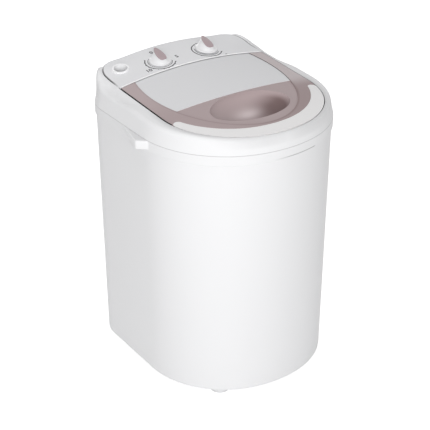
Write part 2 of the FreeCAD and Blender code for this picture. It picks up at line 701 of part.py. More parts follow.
# Lid frame: white moulding under the tinted skin, its front rim shows as a crescent
skin_floor = crown("skin_floor", S.lid_skin)
flange_floor = crown("flange_floor", 2 * S.lid_skin)
LID_LOW = S.deck_z + S.lid_lift


def lid_prism(name, inset=0):
    return LID.prism(name, LID_LOW, S.casing_top, inset)


def crescent(name, grow):
    """Crescent along the lid's front edge with round tips, widened by grow on its inner side."""
    tip_width = S.trim_tip + grow
    outer = lid_side_radius
    inner = lid_side_radius - tip_width
    middle = lid_side_radius - tip_width / 2
    fall = (S.lid_arc_y - S.trim_start) / (lid_side_radius - S.trim_tip / 2)
    level = (1 - fall * fall).root()
    front_outer = S.lid_front_radius
    front_inner = S.lid_front_radius - S.trim_width - grow
    share_x = LID.arc_x / LID.reach
    share_y = LID.fall / LID.reach
    cap = tip_width / 2

    def on_side(radius, side):
        return (LID.arc_x + level * radius) * side, S.lid_arc_y - fall * radius

    def on_front(radius, side):
        return share_x * radius * side, LID.front_centre_y - share_y * radius

    def tip(side):
        x, y = on_side(middle, side)
        return x + fall * cap * side, y + level * cap

    # The inner side arc leaves the front arc smoothly and ends at the tip
    tip_x, tip_y = on_side(inner, 1)
    turn_x, turn_y = on_front(front_inner, 1)
    run = tip_x - turn_x
    rise = tip_y - turn_y
    taper = (run * run + rise * rise) / (2 * (rise * share_y - run * share_x))
    corners = [
        (*on_side(outer, -1), outer), (*on_front(front_outer, -1), front_outer),
        (*on_front(front_outer, 1), outer),
        (*on_side(outer, 1), cap), (*tip(1), cap), (*on_side(inner, 1), taper, True),
        (*on_front(front_inner, 1), front_inner, True), (*on_front(front_inner, -1), taper, True),
        (*on_side(inner, -1), cap), (*tip(-1), cap)]
    return extruded(name, loop_sketch(name + "_plan", corners), S.casing_top - LID_LOW, LID_LOW)


trim = slab("trim", crescent("trim_prism", Size.of(0)), CROWN, flange_floor)
frame_opening = LID.inner(S.lid_flange).prism("frame_opening", LID_LOW, S.casing_top)
frame_ring = cut("frame_ring", lid_prism("frame_outer"), frame_opening)
flange = slab("flange", frame_ring, skin_floor, flange_floor)
skirt_ring = cut("skirt_ring", lid_prism("skirt_outer"), lid_prism("skirt_inner", S.lid_wall))
skirt = common("skirt", skirt_ring, flange_floor)
skirt_trim = box("skirt_trim", (-lid_half_width, S.skirt_rear_y, S.deck_z),
                 (lid_half_width, S.lid_rear_y, S.skirt_rear_z))
rib_trim = box("rib_trim", (S.lid_wall - lid_half_width, S.lid_rear_y - S.lid_flange, S.deck_z),
               (lid_half_width - S.lid_wall, S.lid_rear_y, S.rear_rib_z))
ears = []
pins = []
brackets = []
knuckle_rooms = []
ear_near = S.knuckle_half + S.ear_clear
ear_far = ear_near + S.ear_thick


def across(name, radius, start, end):
    """Cylinder along +X on the hinge line."""
    thing = turned(doc.addObject("Part::Cylinder", name), Vector(0, 1, 0), 90)
    tie(thing, "Radius", radius)
    tie(thing, "Height", Size.of(end) - start)
    return put(thing, (start, S.hinge_y, S.hinge_z))


for side, tag in ((-1, "left"), (1, "right")):
    middle = S.hinge_x * side
    for part, (start, end) in (("inner", (-ear_far, -ear_near)), ("outer", (ear_near, ear_far))):
        name = "%s_%s_ear" % (tag, part)
        web = box(name + "_web", (middle + start, S.hinge_y - S.knuckle_radius, S.hinge_z),
                  (middle + end, S.hinge_y + S.knuckle_radius, S.casing_top))
        ears.append(common(name + "_web_low", web, skin_floor))
        ears.append(across(name + "_eye", S.knuckle_radius, middle + start, middle + end))
    pins.append(across(tag + "_pin", S.pin_radius, middle - ear_far, middle + ear_far))
    post = box(tag + "_post", (middle - S.knuckle_half, S.hinge_y - S.post_depth, S.deck_z),
               (middle + S.knuckle_half, S.hinge_y, S.hinge_z))
    eye = across(tag + "_knuckle", S.knuckle_radius, middle - S.knuckle_half, middle + S.knuckle_half)
    bore = across(tag + "_bore", S.pin_radius + S.run_clear, middle - 2 * S.knuckle_half,
                  middle + 2 * S.knuckle_half)
    knuckle_rooms.append(across(tag + "_knuckle_room", S.knuckle_radius + S.ear_clear, middle - ear_near,
                                middle + ear_near))
    brackets.append(cut(tag + "_bracket", fuse(tag + "_bracket_solid", post, eye), bore))
pin_bores = [across("pin_bore_%d" % i, S.pin_radius, S.hinge_x * s - 2 * ear_far,
                    S.hinge_x * s + 2 * ear_far)
             for i, s in enumerate((-1, 1))]
frame_solid = fuse("frame_solid", trim, flange, cut("skirt_trimmed", skirt, skirt_trim, rib_trim), *ears)
piece("lid_frame", cut("lid_frame", frame_solid, *(pin_bores + knuckle_rooms)))
piece("hinge_pins", group("hinge_pins", pins))
piece("hinge_brackets", group("hinge_brackets", brackets))

# Lid cover: tinted skin with an oval recess and the finger scoop
recess_low = crown("recess_low", S.recess_depth)
recess_floor = crown("recess_floor", S.recess_depth + S.lid_skin)


def oval(name, grow):
    """Prism on the recess oval, its long axis front to back."""
    curve = doc.addObject("Part::Ellipse", name + "_curve")
    curve.Placement = Placement(Vector(), Rotation(Vector(0, 0, 1), 90))
    tie(curve, "MajorRadius", S.recess_half_length + grow)
    tie(curve, "MinorRadius", S.recess_half_width + grow)
    put(curve, (0, S.recess_y, LID_LOW))
    return extruded(name, curve, S.casing_top - LID_LOW)


def scoop_form(name, grow):
    """Ellipsoid whose lower part is the scoop, tipped so that its front wall is the steeper one."""
    thing = doc.addObject("Part::Ellipsoid", name)
    top = height_at(0, S.scoop_y.number) - S.recess_depth
    thing.Placement = Placement(Vector(), Rotation(Vector(1, 0, 0), S.scoop_tilt.number))
    tie(thing, "Radius1", S.scoop_depth + S.scoop_rise + grow)
    tie(thing, "Radius2", S.scoop_half_width + grow)
    tie(thing, "Radius3", S.scoop_half_length + grow)
    thing.Angle1 = -90
    thing.Angle2 = 90
    thing.Angle3 = 360
    return put(thing, (0, S.scoop_y, top + S.scoop_rise))


trim_room = crescent("trim_room", S.trim_seam)
lid_area = cut("lid_area", lid_prism("cover_prism"), trim_room)
cover_rim = slab("cover_rim", cut("rim_area", lid_area, oval("recess_oval", Size.of(0))), CROWN, skin_floor)
cover_dish = slab("cover_dish", common("dish_area", lid_prism("dish_prism"), oval("dish_oval", S.lid_wall)),
                  recess_low, recess_floor)
bowl = common("bowl", scoop_form("bowl_outer", S.lid_wall), recess_low)
dish_trimmed = cut("dish_trimmed", cover_dish, flange, *(ears + knuckle_rooms))
cover_solid = fuse("cover_solid", cover_rim, dish_trimmed, bowl)
piece("lid_cover", cut("lid_cover", cover_solid, scoop_form("scoop", Size.of(0))))

# Grey plate laid in the rear part of the recess
inlay_span = box("inlay_span", (-lid_half_width, S.inlay_front_y, LID_LOW),
                 (lid_half_width, S.lid_rear_y, S.casing_top))
inlay_area = common("inlay_area", oval("inlay_oval", -S.inlay_gap), inlay_span)
inlay_low = S.recess_depth - S.inlay_lift
piece("lid_inlay", slab("lid_inlay", inlay_area, crown("inlay_top", inlay_low - S.inlay_thick),
                        crown("inlay_floor", inlay_low)))

# Knobs: round skirt drawn up into a slanted pointer, with a tinted pointer face, a shaft and a switch below


def knob(name, seat):
    ring = doc.addObject("Part::Circle", name + "_ring")
    ring.Placement = Placement(Vector(), Rotation(Vector(0, 0, 1), 90))
    tie(ring, "Radius", S.knob_radius)
    put(ring, (0, 0, S.knob_float + S.knob_skirt))
    face = doc.addObject("Part::Ellipse", name + "_face")
    tilt = Rotation(Vector(1, 0, 0), S.pointer_tilt.number).multiply(Rotation(Vector(0, 0, 1), 90))
    face.Placement = Placement(Vector(), tilt)
    tie(face, "MajorRadius", S.pointer_half_length)
    tie(face, "MinorRadius", S.pointer_half_width)
    put(face, (0, 0, S.pointer_z))
    flank = loft(name + "_flank", [ring, face], True)
    skirt_disc = cylinder(name + "_skirt", S.knob_radius, S.knob_float, S.knob_float + S.knob_skirt)
    grip = cylinder(name + "_grip", S.dial_shaft_radius, 0, S.knob_float + S.dial_shaft_grip)
    piece(name + "_knob", at_seat(cut(name + "_knob", fuse(name + "_form", skirt_disc, flank), grip), seat))
    pointer = extruded(name + "_pointer_solid", face, S.pointer_thick)
    piece(name + "_pointer", at_seat(group(name + "_pointer", [pointer]), seat))


def switch(name, seat, side, depth):
    """Square switch body under the panel, with a round neck that carries the shaft."""
    top = -S.panel_thick - S.switch_gap
    low = top - S.neck_height - depth
    body = box(name + "_box", (-side / 2, -side / 2, low), (side / 2, side / 2, top - S.neck_height))
    neck = cylinder(name + "_neck", S.neck_radius, low, top)
    bore = cylinder(name + "_bore", S.dial_shaft_radius + S.run_clear, low + depth / 2, top + 1)
    piece(name + "_body", at_seat(cut(name + "_body", fuse(name + "_solid", body, neck), bore), seat))
    shaft = cylinder(name + "_shaft_rod", S.dial_shaft_radius, low + depth / 2 + S.switch_gap,
                     S.knob_float + S.dial_shaft_grip)
    piece(name + "_shaft", at_seat(group(name + "_shaft", [shaft]), seat))


for name, seat in SEATS.items():
    knob(name, seat)
switch("timer", SEATS["timer"], S.timer_side, S.timer_depth)
switch("selector", SEATS["selector"], S.selector_side, S.selector_depth)

# Bearing housing under the tub floor, its bushes, seal and screws


def tub_cylinder(name, radius, low, high):
    return cylinder(name, radius, low, high, y=S.tub_y)


housing_flange_low = S.tub_floor_z - S.housing_flange_thick
housing_solid = fuse("housing_solid", tub_cylinder("housing_tube", S.housing_radius, S.housing_low_z,
                                                   S.tub_floor_z),
                     tub_cylinder("housing_flange", S.housing_flange, housing_flange_low, S.tub_floor_z),
                     tub_cylinder("housing_neck", S.neck_fit_radius, S.tub_floor_z - 1, S.neck_top_z))
seal_low = S.neck_top_z - S.seal_height
upper_bush_low = seal_low - S.bush_length
lower_bush_top = S.housing_low_z + S.bush_length
housing_bores = [tub_cylinder("relief_bore", S.bore_relief, S.housing_low_z - 1, S.neck_top_z + 1),
                 tub_cylinder("lower_bush_bore", S.bush_radius, S.housing_low_z - 1, lower_bush_top),
                 tub_cylinder("upper_bush_bore", S.bush_radius, upper_bush_low, seal_low),
                 tub_cylinder("seal_seat", S.seal_radius, seal_low, S.neck_top_z + 1)]


housing_screw_holes = [cylinder("housing_hole_%d" % i, S.screw_radius + S.screw_hole_clear,
                                housing_flange_low - 1,
                                S.tub_floor_z + 1, x, y) for i, (x, y) in enumerate(housing_places)]
piece("bearing_housing", cut("bearing_housing", housing_solid, *(housing_bores + housing_screw_holes)))
piece("housing_screws", group("housing_screws", [
    screw("housing_screw_%d" % i, housing_flange_low, S.housing_screw_length, x, y, True)
    for i, (x, y) in enumerate(housing_places)]))


def sleeve(name, outer, inner, low, high, y):
    return cut(name, cylinder(name + "_outer", outer, low, high, y=y),
               cylinder(name + "_inner", inner, low, high, y=y))


bush_bore = S.shaft_radius + S.run_clear
piece("shaft_bushes", group("shaft_bushes", [
    sleeve("lower_bush", S.bush_radius, bush_bore, S.housing_low_z, lower_bush_top, S.tub_y),
    sleeve("upper_bush", S.bush_radius, bush_bore, upper_bush_low, seal_low, S.tub_y)]))
piece("shaft_seal", sleeve("shaft_seal", S.seal_radius, bush_bore, seal_low, S.neck_top_z, S.tub_y))

# Pulsator on its shaft
plate_top = S.pulsator_z + S.pulsator_thick
disc = tub_cylinder("pulsator_disc", S.pulsator_radius, S.pulsator_z, plate_top)
hub = tub_cylinder("pulsator_hub", S.hub_radius, S.hub_low_z, plate_top)
dome = solid("Ellipsoid", "pulsator_dome", (0, S.tub_y, plate_top), Radius1=S.dome_height,
             Radius2=S.dome_radius,
             Radius3=S.dome_radius)
humps = []
for index, (x, y) in enumerate(around(int(S.hump_count.number), S.hump_place, y=S.tub_y)):
    hump = solid("Ellipsoid", "hump_%d" % index, (x, y, plate_top), Radius1=S.hump_height,
                 Radius2=S.hump_length,
                 Radius3=S.hump_width)
    hump.Placement = Placement(hump.Placement.Base,
                               Rotation(Vector(0, 0, 1), 360.0 * index / S.hump_count.number + 20))
    humps.append(hump)
below_plate = tub_cylinder("below_plate", S.pulsator_radius, plate_top - 2 * S.hump_height,
                           plate_top - S.pulsator_thick / 2)
lumps = cut("pulsator_lumps", fuse("lumps_whole", dome, *humps), below_plate)
head_z = plate_top + S.dome_height - S.cap_head_height
pulsator_bores = [tub_cylinder("shaft_socket", S.shaft_radius + S.slip_clear, S.hub_low_z - 1,
                               S.shaft_top_z + S.slip_clear),
                  tub_cylinder("cap_screw_bore", S.cap_screw_radius + S.screw_hole_clear, S.shaft_top_z,
                               head_z + 1),
                  tub_cylinder("cap_head_seat", S.cap_head_radius + S.screw_hole_clear, head_z,
                               plate_top + 2 * S.dome_height)]
piece("pulsator", cut("pulsator", fuse("pulsator_solid", disc, hub, lumps), *pulsator_bores))
cap_low = head_z - S.cap_screw_length
piece("pulsator_screw", fuse("pulsator_screw", tub_cylinder("cap_head", S.cap_head_radius, head_z,
                                                            head_z + S.cap_head_height),
                             tub_cylinder("cap_shank", S.cap_screw_radius, cap_low,
                                          head_z + S.cap_head_height / 2)))
piece("drive_shaft", cut("drive_shaft", tub_cylinder("shaft_rod", S.shaft_radius, S.shaft_low_z,
                                                     S.shaft_top_z),
                         tub_cylinder("cap_screw_hole", S.cap_screw_radius + S.screw_hole_clear,
                                      cap_low - 1, S.shaft_top_z + 1)))

# Belt drive: large pulley on the tub shaft, small pulley on the motor, belt between them
pulley_low = S.belt_z - S.pulley_height / 2
pulley_top = S.belt_z + S.pulley_height / 2
groove_low = S.belt_z - S.belt_height / 2 - S.belt_clear
groove_top = S.belt_z + S.belt_height / 2 + S.belt_clear


def grooved(name, radius, y):
    """Plain pulley rim with a square groove."""
    rim = cylinder(name + "_rim", radius, pulley_low, pulley_top, y=y)
    groove = sleeve(name + "_groove", radius + 1, radius - S.groove_depth, groove_low, groove_top, y)
    return cut(name + "_grooved", rim, groove)


web_low = S.belt_z - S.web_thick / 2
web_top = S.belt_z + S.web_thick / 2
rim_inner = S.driven_radius - 2 * S.groove_depth
faces = [sleeve("upper_face", rim_inner, S.driven_hub, web_top, pulley_top + 1, S.tub_y),
         sleeve("lower_face", rim_inner, S.driven_hub, pulley_low - 1, web_low, S.tub_y)]
web_holes = [cylinder("web_hole_%d" % i, S.web_hole, pulley_low, pulley_top, x, y)
             for i, (x, y) in enumerate(around(int(S.web_hole_count.number), S.web_hole_circle, y=S.tub_y))]
driven_bore = tub_cylinder("driven_bore", S.shaft_radius + S.slip_clear, pulley_low - 1, pulley_top + 1)
piece("driven_pulley", cut("driven_pulley", grooved("driven", S.driven_radius, S.tub_y), driven_bore,
                           *(faces + web_holes)))
nut = doc.addObject("Part::Prism", "nut_hexagon")
nut.Polygon = 6
tie(nut, "Circumradius", S.nut_radius)
tie(nut, "Height", S.nut_height)
put(nut, (0, S.tub_y, pulley_low - S.nut_height))
nut_bore = tub_cylinder("nut_bore", S.shaft_radius + S.slip_clear, pulley_low - 2 * S.nut_height,
                        pulley_low + 1)
piece("pulley_nut", cut("pulley_nut", nut, nut_bore))


def motor_cylinder(name, radius, low, high):
    return cylinder(name, radius, low, high, y=S.motor_y)


motor_shaft_low = pulley_low - S.belt_clear
motor_shaft_top = S.motor_top_z - S.end_cap_wall / 2
piece("motor_pulley", cut("motor_pulley", grooved("motor", S.motor_pulley_radius, S.motor_y), motor_cylinder(
    "motor_pulley_bore", S.motor_shaft_radius + S.slip_clear, pulley_low - 1, pulley_top + 1)))
piece("motor_shaft", group("motor_shaft", [motor_cylinder("motor_rod", S.motor_shaft_radius,
                                                          motor_shaft_low, motor_shaft_top)]))


def belt_loop(name, grow):
    """Plan of the belt round both pulleys, between their groove floors and grow."""
    large = S.driven_radius - S.groove_depth + grow
    small = S.motor_pulley_radius - S.groove_depth + grow
    span = S.motor_y - S.tub_y
    lean = (S.driven_radius - S.motor_pulley_radius) / span
    level = (1 - lean * lean).root()
    low, high = S.tub_y + lean * large, S.motor_y + lean * small
    corners = [(level * large, low), (level * small, high, small), (0, S.motor_y + small, small),
               (-level * small, high),
               (-level * large, low, large), (0, S.tub_y - large, large)]
    return extruded(name, loop_sketch(name + "_plan", corners), S.belt_height, S.belt_z - S.belt_height / 2)


piece("drive_belt", cut("drive_belt", belt_loop("belt_outside", S.belt_clear + S.belt_thick),
                        belt_loop("belt_inside", S.belt_clear)))

# Motor: stator between two end caps, rotor inside, on a bracket on the base posts
stator_low = S.motor_low_z + S.end_cap
stator_top = S.motor_top_z - S.end_cap
piece("motor_stator", sleeve("motor_stator", S.motor_radius, S.rotor_radius + S.air_gap, stator_low,
                             stator_top, S.motor_y))
end_bore = S.motor_shaft_radius + S.run_clear


def end_cap(name, low, high, room_low, room_high, bore_top):
    outer = motor_cylinder(name + "_outer", S.motor_radius, low, high)
    room = motor_cylinder(name + "_room", S.motor_radius - 2 * S.end_cap_wall, room_low, room_high)
    return cut(name, outer, room, motor_cylinder(name + "_bore", end_bore, low - 1, bore_top))


piece("motor_end_caps", group("motor_end_caps", [
    end_cap("lower_end_cap", S.motor_low_z, stator_low, S.motor_low_z + S.end_cap_wall, stator_low + 1,
            stator_low + 1),
    end_cap("upper_end_cap", stator_top, S.motor_top_z, stator_top - 1, S.motor_top_z - S.end_cap_wall,
            S.motor_top_z - S.end_cap_wall / 4)]))
piece("motor_rotor", sleeve("motor_rotor", S.rotor_radius, S.motor_shaft_radius + S.slip_clear,
                            stator_low + S.rotor_margin,
                            stator_top - S.rotor_margin, S.motor_y))
bracket_plate = box("bracket_plate", (-S.bracket_half_x, S.motor_y - S.bracket_half_y, POST_TOP),
                    (S.bracket_half_x, S.motor_y + S.bracket_half_y, S.motor_low_z))
bracket_holes = [cylinder("bracket_hole_%d" % i, S.screw_radius + S.screw_hole_clear, POST_TOP - 1,
                          S.motor_low_z + 1, x, y)
                 for i, (x, y) in enumerate(post_places)]
bracket_bore = motor_cylinder("bracket_bore", S.bracket_hole, POST_TOP - 1, S.motor_low_z + 1)
piece("motor_bracket", cut("motor_bracket", bracket_plate, bracket_bore, *bracket_holes))
piece("motor_screws", group("motor_screws", [
    screw("motor_screw_%d" % i, S.motor_low_z, S.bracket_thick + S.screw_length / 2, x, y, False)
    for i, (x, y) in enumerate(post_places)]))
piece("capacitor", group("capacitor", [cylinder("capacitor_can", S.capacitor_radius, BASE_TOP,
                                                BASE_TOP + S.capacitor_height,
                                                S.capacitor_inset - S.body_half_width, S.capacitor_y)]))

# Drain: pipe from the tub floor to the outlet in the back, and the cord's gland beside it
outlet_seat = back_face(S.drain_z + S.outlet_flange)
outlet_face = outlet_seat + S.outlet_flange_thick
pipe_end = outlet_face - S.outlet_depth


def drain_run(name, radius):
    """Pipe down from the tub floor, round a bend and out towards the back."""
    drop = cylinder(name + "_drop", radius, S.drain_z + S.drain_bend, S.tub_floor_z, S.drain_x,
                    S.drain_port_y)
    bend = doc.addObject("Part::Torus", name + "_bend")
    bend.Placement = Placement(Vector(), Rotation(Vector(0, -1, 0), Vector(0, 0, -1), Vector(1, 0, 0),
                                                  "XYZ"))
    tie(bend, "Radius1", S.drain_bend)
    tie(bend, "Radius2", radius)
    bend.Angle1 = -180
    bend.Angle2 = 180
    bend.Angle3 = 90
    put(bend, (S.drain_x, S.drain_port_y + S.drain_bend, S.drain_z + S.drain_bend))
    run = along_back(name + "_run", radius, S.drain_port_y + S.drain_bend, pipe_end, S.drain_x, S.drain_z)
    return fuse(name, drop, bend, run)


piece("drain_pipe", cut("drain_pipe", drain_run("drain_outside", S.drain_radius),
                        drain_run("drain_inside", S.drain_radius - S.drain_wall)))


def drain_part(name, radius, start, end):
    return along_back(name, radius, start, end, S.drain_x, S.drain_z)


outlet_start = pipe_end - S.pipe_seat
outlet_solid = fuse("outlet_solid", drain_part("outlet_neck", S.outlet_neck, outlet_start, outlet_face),
                    drain_part("outlet_flange", S.outlet_flange, outlet_seat, outlet_face))
piece("drain_outlet", cut("drain_outlet", outlet_solid, drain_part("outlet_bore", S.outlet_bore,
                                                                   pipe_end - 1, outlet_face + 1),
                          drain_part("pipe_socket", S.drain_radius + S.slip_clear, outlet_start - 1,
                                     pipe_end)))


def gland_part(name, radius, start, end):
    return along_back(name, radius, start, end, S.gland_x, S.drain_z)


gland_seat = back_face(S.drain_z + S.gland_flange)
gland_face = gland_seat + S.outlet_flange_thick
gland_inside = back_face(S.drain_z - S.gland_flange) - S.wall - S.back_clear
gland_start = gland_inside - S.outlet_flange_thick
gland_solid = fuse("gland_solid", gland_part("gland_neck", S.gland_neck, gland_start, gland_face),
                   gland_part("gland_flange", S.gland_flange, gland_seat, gland_face),
                   gland_part("gland_ring", S.gland_flange, gland_start, gland_inside))
piece("cord_gland", cut("cord_gland", gland_solid, gland_part("gland_bore", S.gland_bore, gland_start - 1,
                                                              gland_face + 1)))



# Check every object and write each piece
doc.recompute()
for thing in doc.Objects:
    if "Invalid" in thing.State or "Error" in thing.State:
        raise RuntimeError("%s failed: %s" % (thing.Name, thing.State))
for node, thing in PIECES.items():
    if thing.Shape.isNull() or not thing.Shape.isValid() or not thing.Shape.Solids:
        raise RuntimeError("%s has no valid solid" % node)
for node, thing in PIECES.items():
    thing.Shape.exportStep("parts/%s.step" % node)
    print(node, len(thing.Shape.Solids), round(thing.Shape.Volume / 1000, 1))
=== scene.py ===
import json
import math

import bmesh
import bpy
from mathutils import Matrix, Vector
from mathutils.bvhtree import BVHTree


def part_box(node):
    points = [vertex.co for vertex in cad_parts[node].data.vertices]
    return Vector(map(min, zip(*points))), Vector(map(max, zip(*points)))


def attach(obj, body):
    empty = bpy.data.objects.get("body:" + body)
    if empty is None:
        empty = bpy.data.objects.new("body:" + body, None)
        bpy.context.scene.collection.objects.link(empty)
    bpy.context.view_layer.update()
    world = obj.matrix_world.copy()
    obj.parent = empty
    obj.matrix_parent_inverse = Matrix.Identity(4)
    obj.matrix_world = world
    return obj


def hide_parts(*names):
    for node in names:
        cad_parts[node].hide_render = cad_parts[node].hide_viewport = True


# Mini washing machine: white moulded shell, tinted lid with a finger scoop, two knobs on a grey panel.
# Metres, +Z up, front towards -Y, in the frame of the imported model.

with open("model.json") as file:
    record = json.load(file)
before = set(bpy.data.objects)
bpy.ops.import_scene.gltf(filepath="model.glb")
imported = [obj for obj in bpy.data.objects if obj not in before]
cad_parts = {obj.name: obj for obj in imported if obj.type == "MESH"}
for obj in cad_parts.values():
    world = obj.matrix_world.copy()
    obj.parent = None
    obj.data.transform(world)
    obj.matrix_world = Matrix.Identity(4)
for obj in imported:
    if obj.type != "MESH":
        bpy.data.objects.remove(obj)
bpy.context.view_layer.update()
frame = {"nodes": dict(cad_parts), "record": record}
MM = 0.001

scene = bpy.context.scene
scene.view_settings.view_transform = "Standard"
RECORD = frame["record"]
BODY_OF = {node: body for body, nodes in RECORD["behaviour"]["bodies"].items() for node in nodes}
JOINTS = {joint["name"]: joint for joint in RECORD["behaviour"]["joints"]}


def span(low, high):
    """A range given in millimetres, in metres."""
    return low * MM, high * MM


def ease(value, low, high):
    """Smooth step from 0 at low to 1 at high."""
    share = min(max((value - low) / (high - low), 0.0), 1.0)
    return share * share * (3 - 2 * share)


# Node trees, with the places of a Mix node's colour sockets

MIX_SHARE, MIX_FIRST, MIX_SECOND, MIX_COLOUR = 0, 6, 7, 2


class Wire:
    """A node socket that takes part in Python sums; each sum adds a Math node."""

    def __init__(self, board, socket):
        self.board = board
        self.socket = socket

    def maths(self, operation, *values):
        """A Math node on wires and numbers."""
        return self.board.node("ShaderNodeMath", {"operation": operation}, dict(enumerate(values)))

    def __add__(self, other):
        return self.maths("ADD", self, other)

    def __radd__(self, other):
        return self.maths("ADD", other, self)

    def __sub__(self, other):
        return self.maths("SUBTRACT", self, other)

    def __rsub__(self, other):
        return self.maths("SUBTRACT", other, self)

    def __mul__(self, other):
        return self.maths("MULTIPLY", self, other)

    def __rmul__(self, other):
        return self.maths("MULTIPLY", other, self)

    def __truediv__(self, other):
        return self.maths("DIVIDE", self, other)

    def __rtruediv__(self, other):
        return self.maths("DIVIDE", other, self)

    def __pow__(self, other):
        return self.maths("POWER", self, other)

    def __rpow__(self, other):
        return self.maths("POWER", other, self)

    def __gt__(self, other):
        return self.maths("GREATER_THAN", self, other)

    def __lt__(self, other):
        return self.maths("LESS_THAN", self, other)

    def __abs__(self):
        return self.maths("ABSOLUTE", self)

    def at_least(self, floor):
        return self.maths("MAXIMUM", self, floor)

    def at_most(self, ceiling):
        return self.maths("MINIMUM", self, ceiling)

    def cosine(self):
        return self.maths("COSINE", self)

    def sine(self):
        return self.maths("SINE", self)


class Board:
    """A node tree, with one method for every other kind of node."""

    def __init__(self, tree):
        self.tree = tree

    def node(self, kind, settings=None, sockets=None, out=0):
        """Add a node: settings first, then its sockets' values or wires. Gives the wires that out names."""
        made = self.tree.nodes.new(kind)
        for key, value in (settings or {}).items():
            setattr(made, key, value)
        for key, value in (sockets or {}).items():
            self.feed(made.inputs[key], value)
        if isinstance(out, (list, tuple)):
            return [Wire(self, made.outputs[key]) for key in out]
        return Wire(self, made.outputs[out])

    def feed(self, socket, value):
        """Set a socket to a value, or link it to a wire or to a list of wires."""
        for single in value if isinstance(value, list) else [value]:
            if isinstance(single, Wire):
                self.tree.links.new(single.socket, socket)
            else:
                socket.default_value = single


class Finish(Board):
    """A material on the main shader, with the patterns that its plastics, metals and rubbers share."""

    def __init__(self, name):
        self.material = bpy.data.materials.new(name)
        self.material.use_nodes = True
        super().__init__(self.material.node_tree)
        self.skin = self.tree.nodes["Principled BSDF"]
        self.place = self.node("ShaderNodeTexCoord", out="Object")

    def noise(self, scale, detail=2.0, stretch=None):
        """Noise from 0 to 1, drawn out along the piece's axes where stretch is given."""
        place = self.place
        if stretch:
            place = self.node("ShaderNodeMapping", sockets={"Vector": place, "Scale": stretch})
        return self.node("ShaderNodeTexNoise", sockets={"Vector": place, "Scale": scale, "Detail": detail})

    def axes(self):
        """The x, y and z of the place on the piece."""
        return self.node("ShaderNodeSeparateXYZ", sockets={"Vector": self.place}, out=("X", "Y", "Z"))

    def blend(self, share, first, second):
        """Colour between two colours, or wires of colours, by a share from 0 to 1."""
        first, second = (end if isinstance(end, Wire) else (*end, 1.0) for end in (first, second))
        return self.node("ShaderNodeMix", {"data_type": "RGBA"},
                         {MIX_SHARE: share, MIX_FIRST: first, MIX_SECOND: second}, out=MIX_COLOUR)

    def ease(self, value, low, high):
        """Smooth step from 0 at low to 1 at high."""
        return self.node("ShaderNodeMapRange", {"interpolation_type": "SMOOTHSTEP"},
                         {"Value": value, "From Min": low, "From Max": high})

    def patch(self, x, y, area):
        """A soft-edged area of the plan, with its share of a tone."""
        return area["share"] * self.ease(x, *area["x"]) * self.ease(y, *area["y"])

    def mark(self, name):
        """A value that the mesh carries on its faces or points."""
        return self.node("ShaderNodeAttribute", {"attribute_name": name}, out="Fac")

    def relief(self, height, strength, depth):
        """Fine bumps on the surface."""
        bump = self.node("ShaderNodeBump",
                         sockets={"Height": height, "Strength": strength, "Distance": depth})
        self.feed(self.skin.inputs["Normal"], bump)

    def wear(self, **sockets):
        """Sockets of the main shader, with underscores for the blanks in their names."""
        for name, value in sockets.items():
            self.feed(self.skin.inputs[name.replace("_", " ")], value)


def distance(across, along):
    """Length of two sides set square to each other."""
    return (across * across + along * along) ** 0.5


def uneven(middle, width, pattern):
    """A value that a pattern from 0 to 1 spreads evenly about its middle."""
    return middle - 0.5 * width + width * pattern


def stripe(value, centre, half):
    """1 at the centre, falling evenly to 0 at half a width to either side."""
    return (1.0 - abs((value - centre) / half)).at_least(0.0)


# Lines and painted shade that follow the mouldings
# A range runs from where an easing starts to where it is full, so some ranges run backwards.

PANEL_CORNER = 38 * MM
PANEL_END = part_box("control_panel")[1]
PANEL_TURN = Vector((PANEL_END.x - PANEL_CORNER, PANEL_END.y - PANEL_CORNER, 0.0))
# Painted shadow line inside the panel's ends.
PANEL_LINE = span(-2.4, -1.2)
PANEL_LINE_SHARE = 0.85
PANEL_LINE_X = span(125, 150)
PANEL_LINE_Y = span(96, 125)

LID_ARC = Vector((13 * MM, -42 * MM, 0.0))
LID_SIDE_RADIUS = 137 * MM
LID_EDGE_SHADE_LINE = 1.5 * MM
LID_REAR_Y = 88 * MM
TRIM_REAR_Y = -66 * MM
RECESS_HALF = Vector((128 * MM, 178 * MM, 0.0))
RECESS_Y = 33 * MM
INLAY_FRONT_Y = -33 * MM

SEAM_Z = 478.7 * MM
SEAM_HALF = 0.8 * MM
SEAM_SHARE = 0.36
# Painted shade line under the band's lower edge, on the front only.
LEDGE_Z = 463 * MM
LEDGE_HALF = 1.2 * MM
LEDGE_SHADE_SHARE = 0.6
LEDGE_LEFT_X = span(-35, 10)
LEDGE_RIGHT_X = span(62, 56)
# Soft painted shade on the casing round the lid, towards its front.
RIM_WIDTH = span(12, 2)
RIM_FRONT_Y = span(20, -60)
RIM_FOOT_Z = span(485, 492)
RIM_SHADE_SHARE = 0.18


def lid_reach(x, y):
    """Distance from the centre of the lid's side arc, which the lid's outline keeps constant."""
    return distance(abs(x) - LID_ARC.x, (y - LID_ARC.y).at_most(0.0))


def shell_lines_and_shade(finish):
    """Fine dark line at the seam of the shell, a short painted shade line under the band, and a soft painted
    shade round the lid.
    """
    x, y, z = finish.axes()
    seam = stripe(z, SEAM_Z, SEAM_HALF)
    ledge_shade = stripe(z, LEDGE_Z, LEDGE_HALF) * finish.ease(x, *LEDGE_LEFT_X) * finish.ease(x, *LEDGE_RIGHT_X)
    rim_shade = finish.ease(lid_reach(x, y) - LID_SIDE_RADIUS, *RIM_WIDTH)
    ahead = finish.ease(y, *RIM_FRONT_Y) * finish.ease(z, *RIM_FOOT_Z)
    return SEAM_SHARE * seam + LEDGE_SHADE_SHARE * ledge_shade * (y < 0.0) + RIM_SHADE_SHARE * rim_shade * ahead


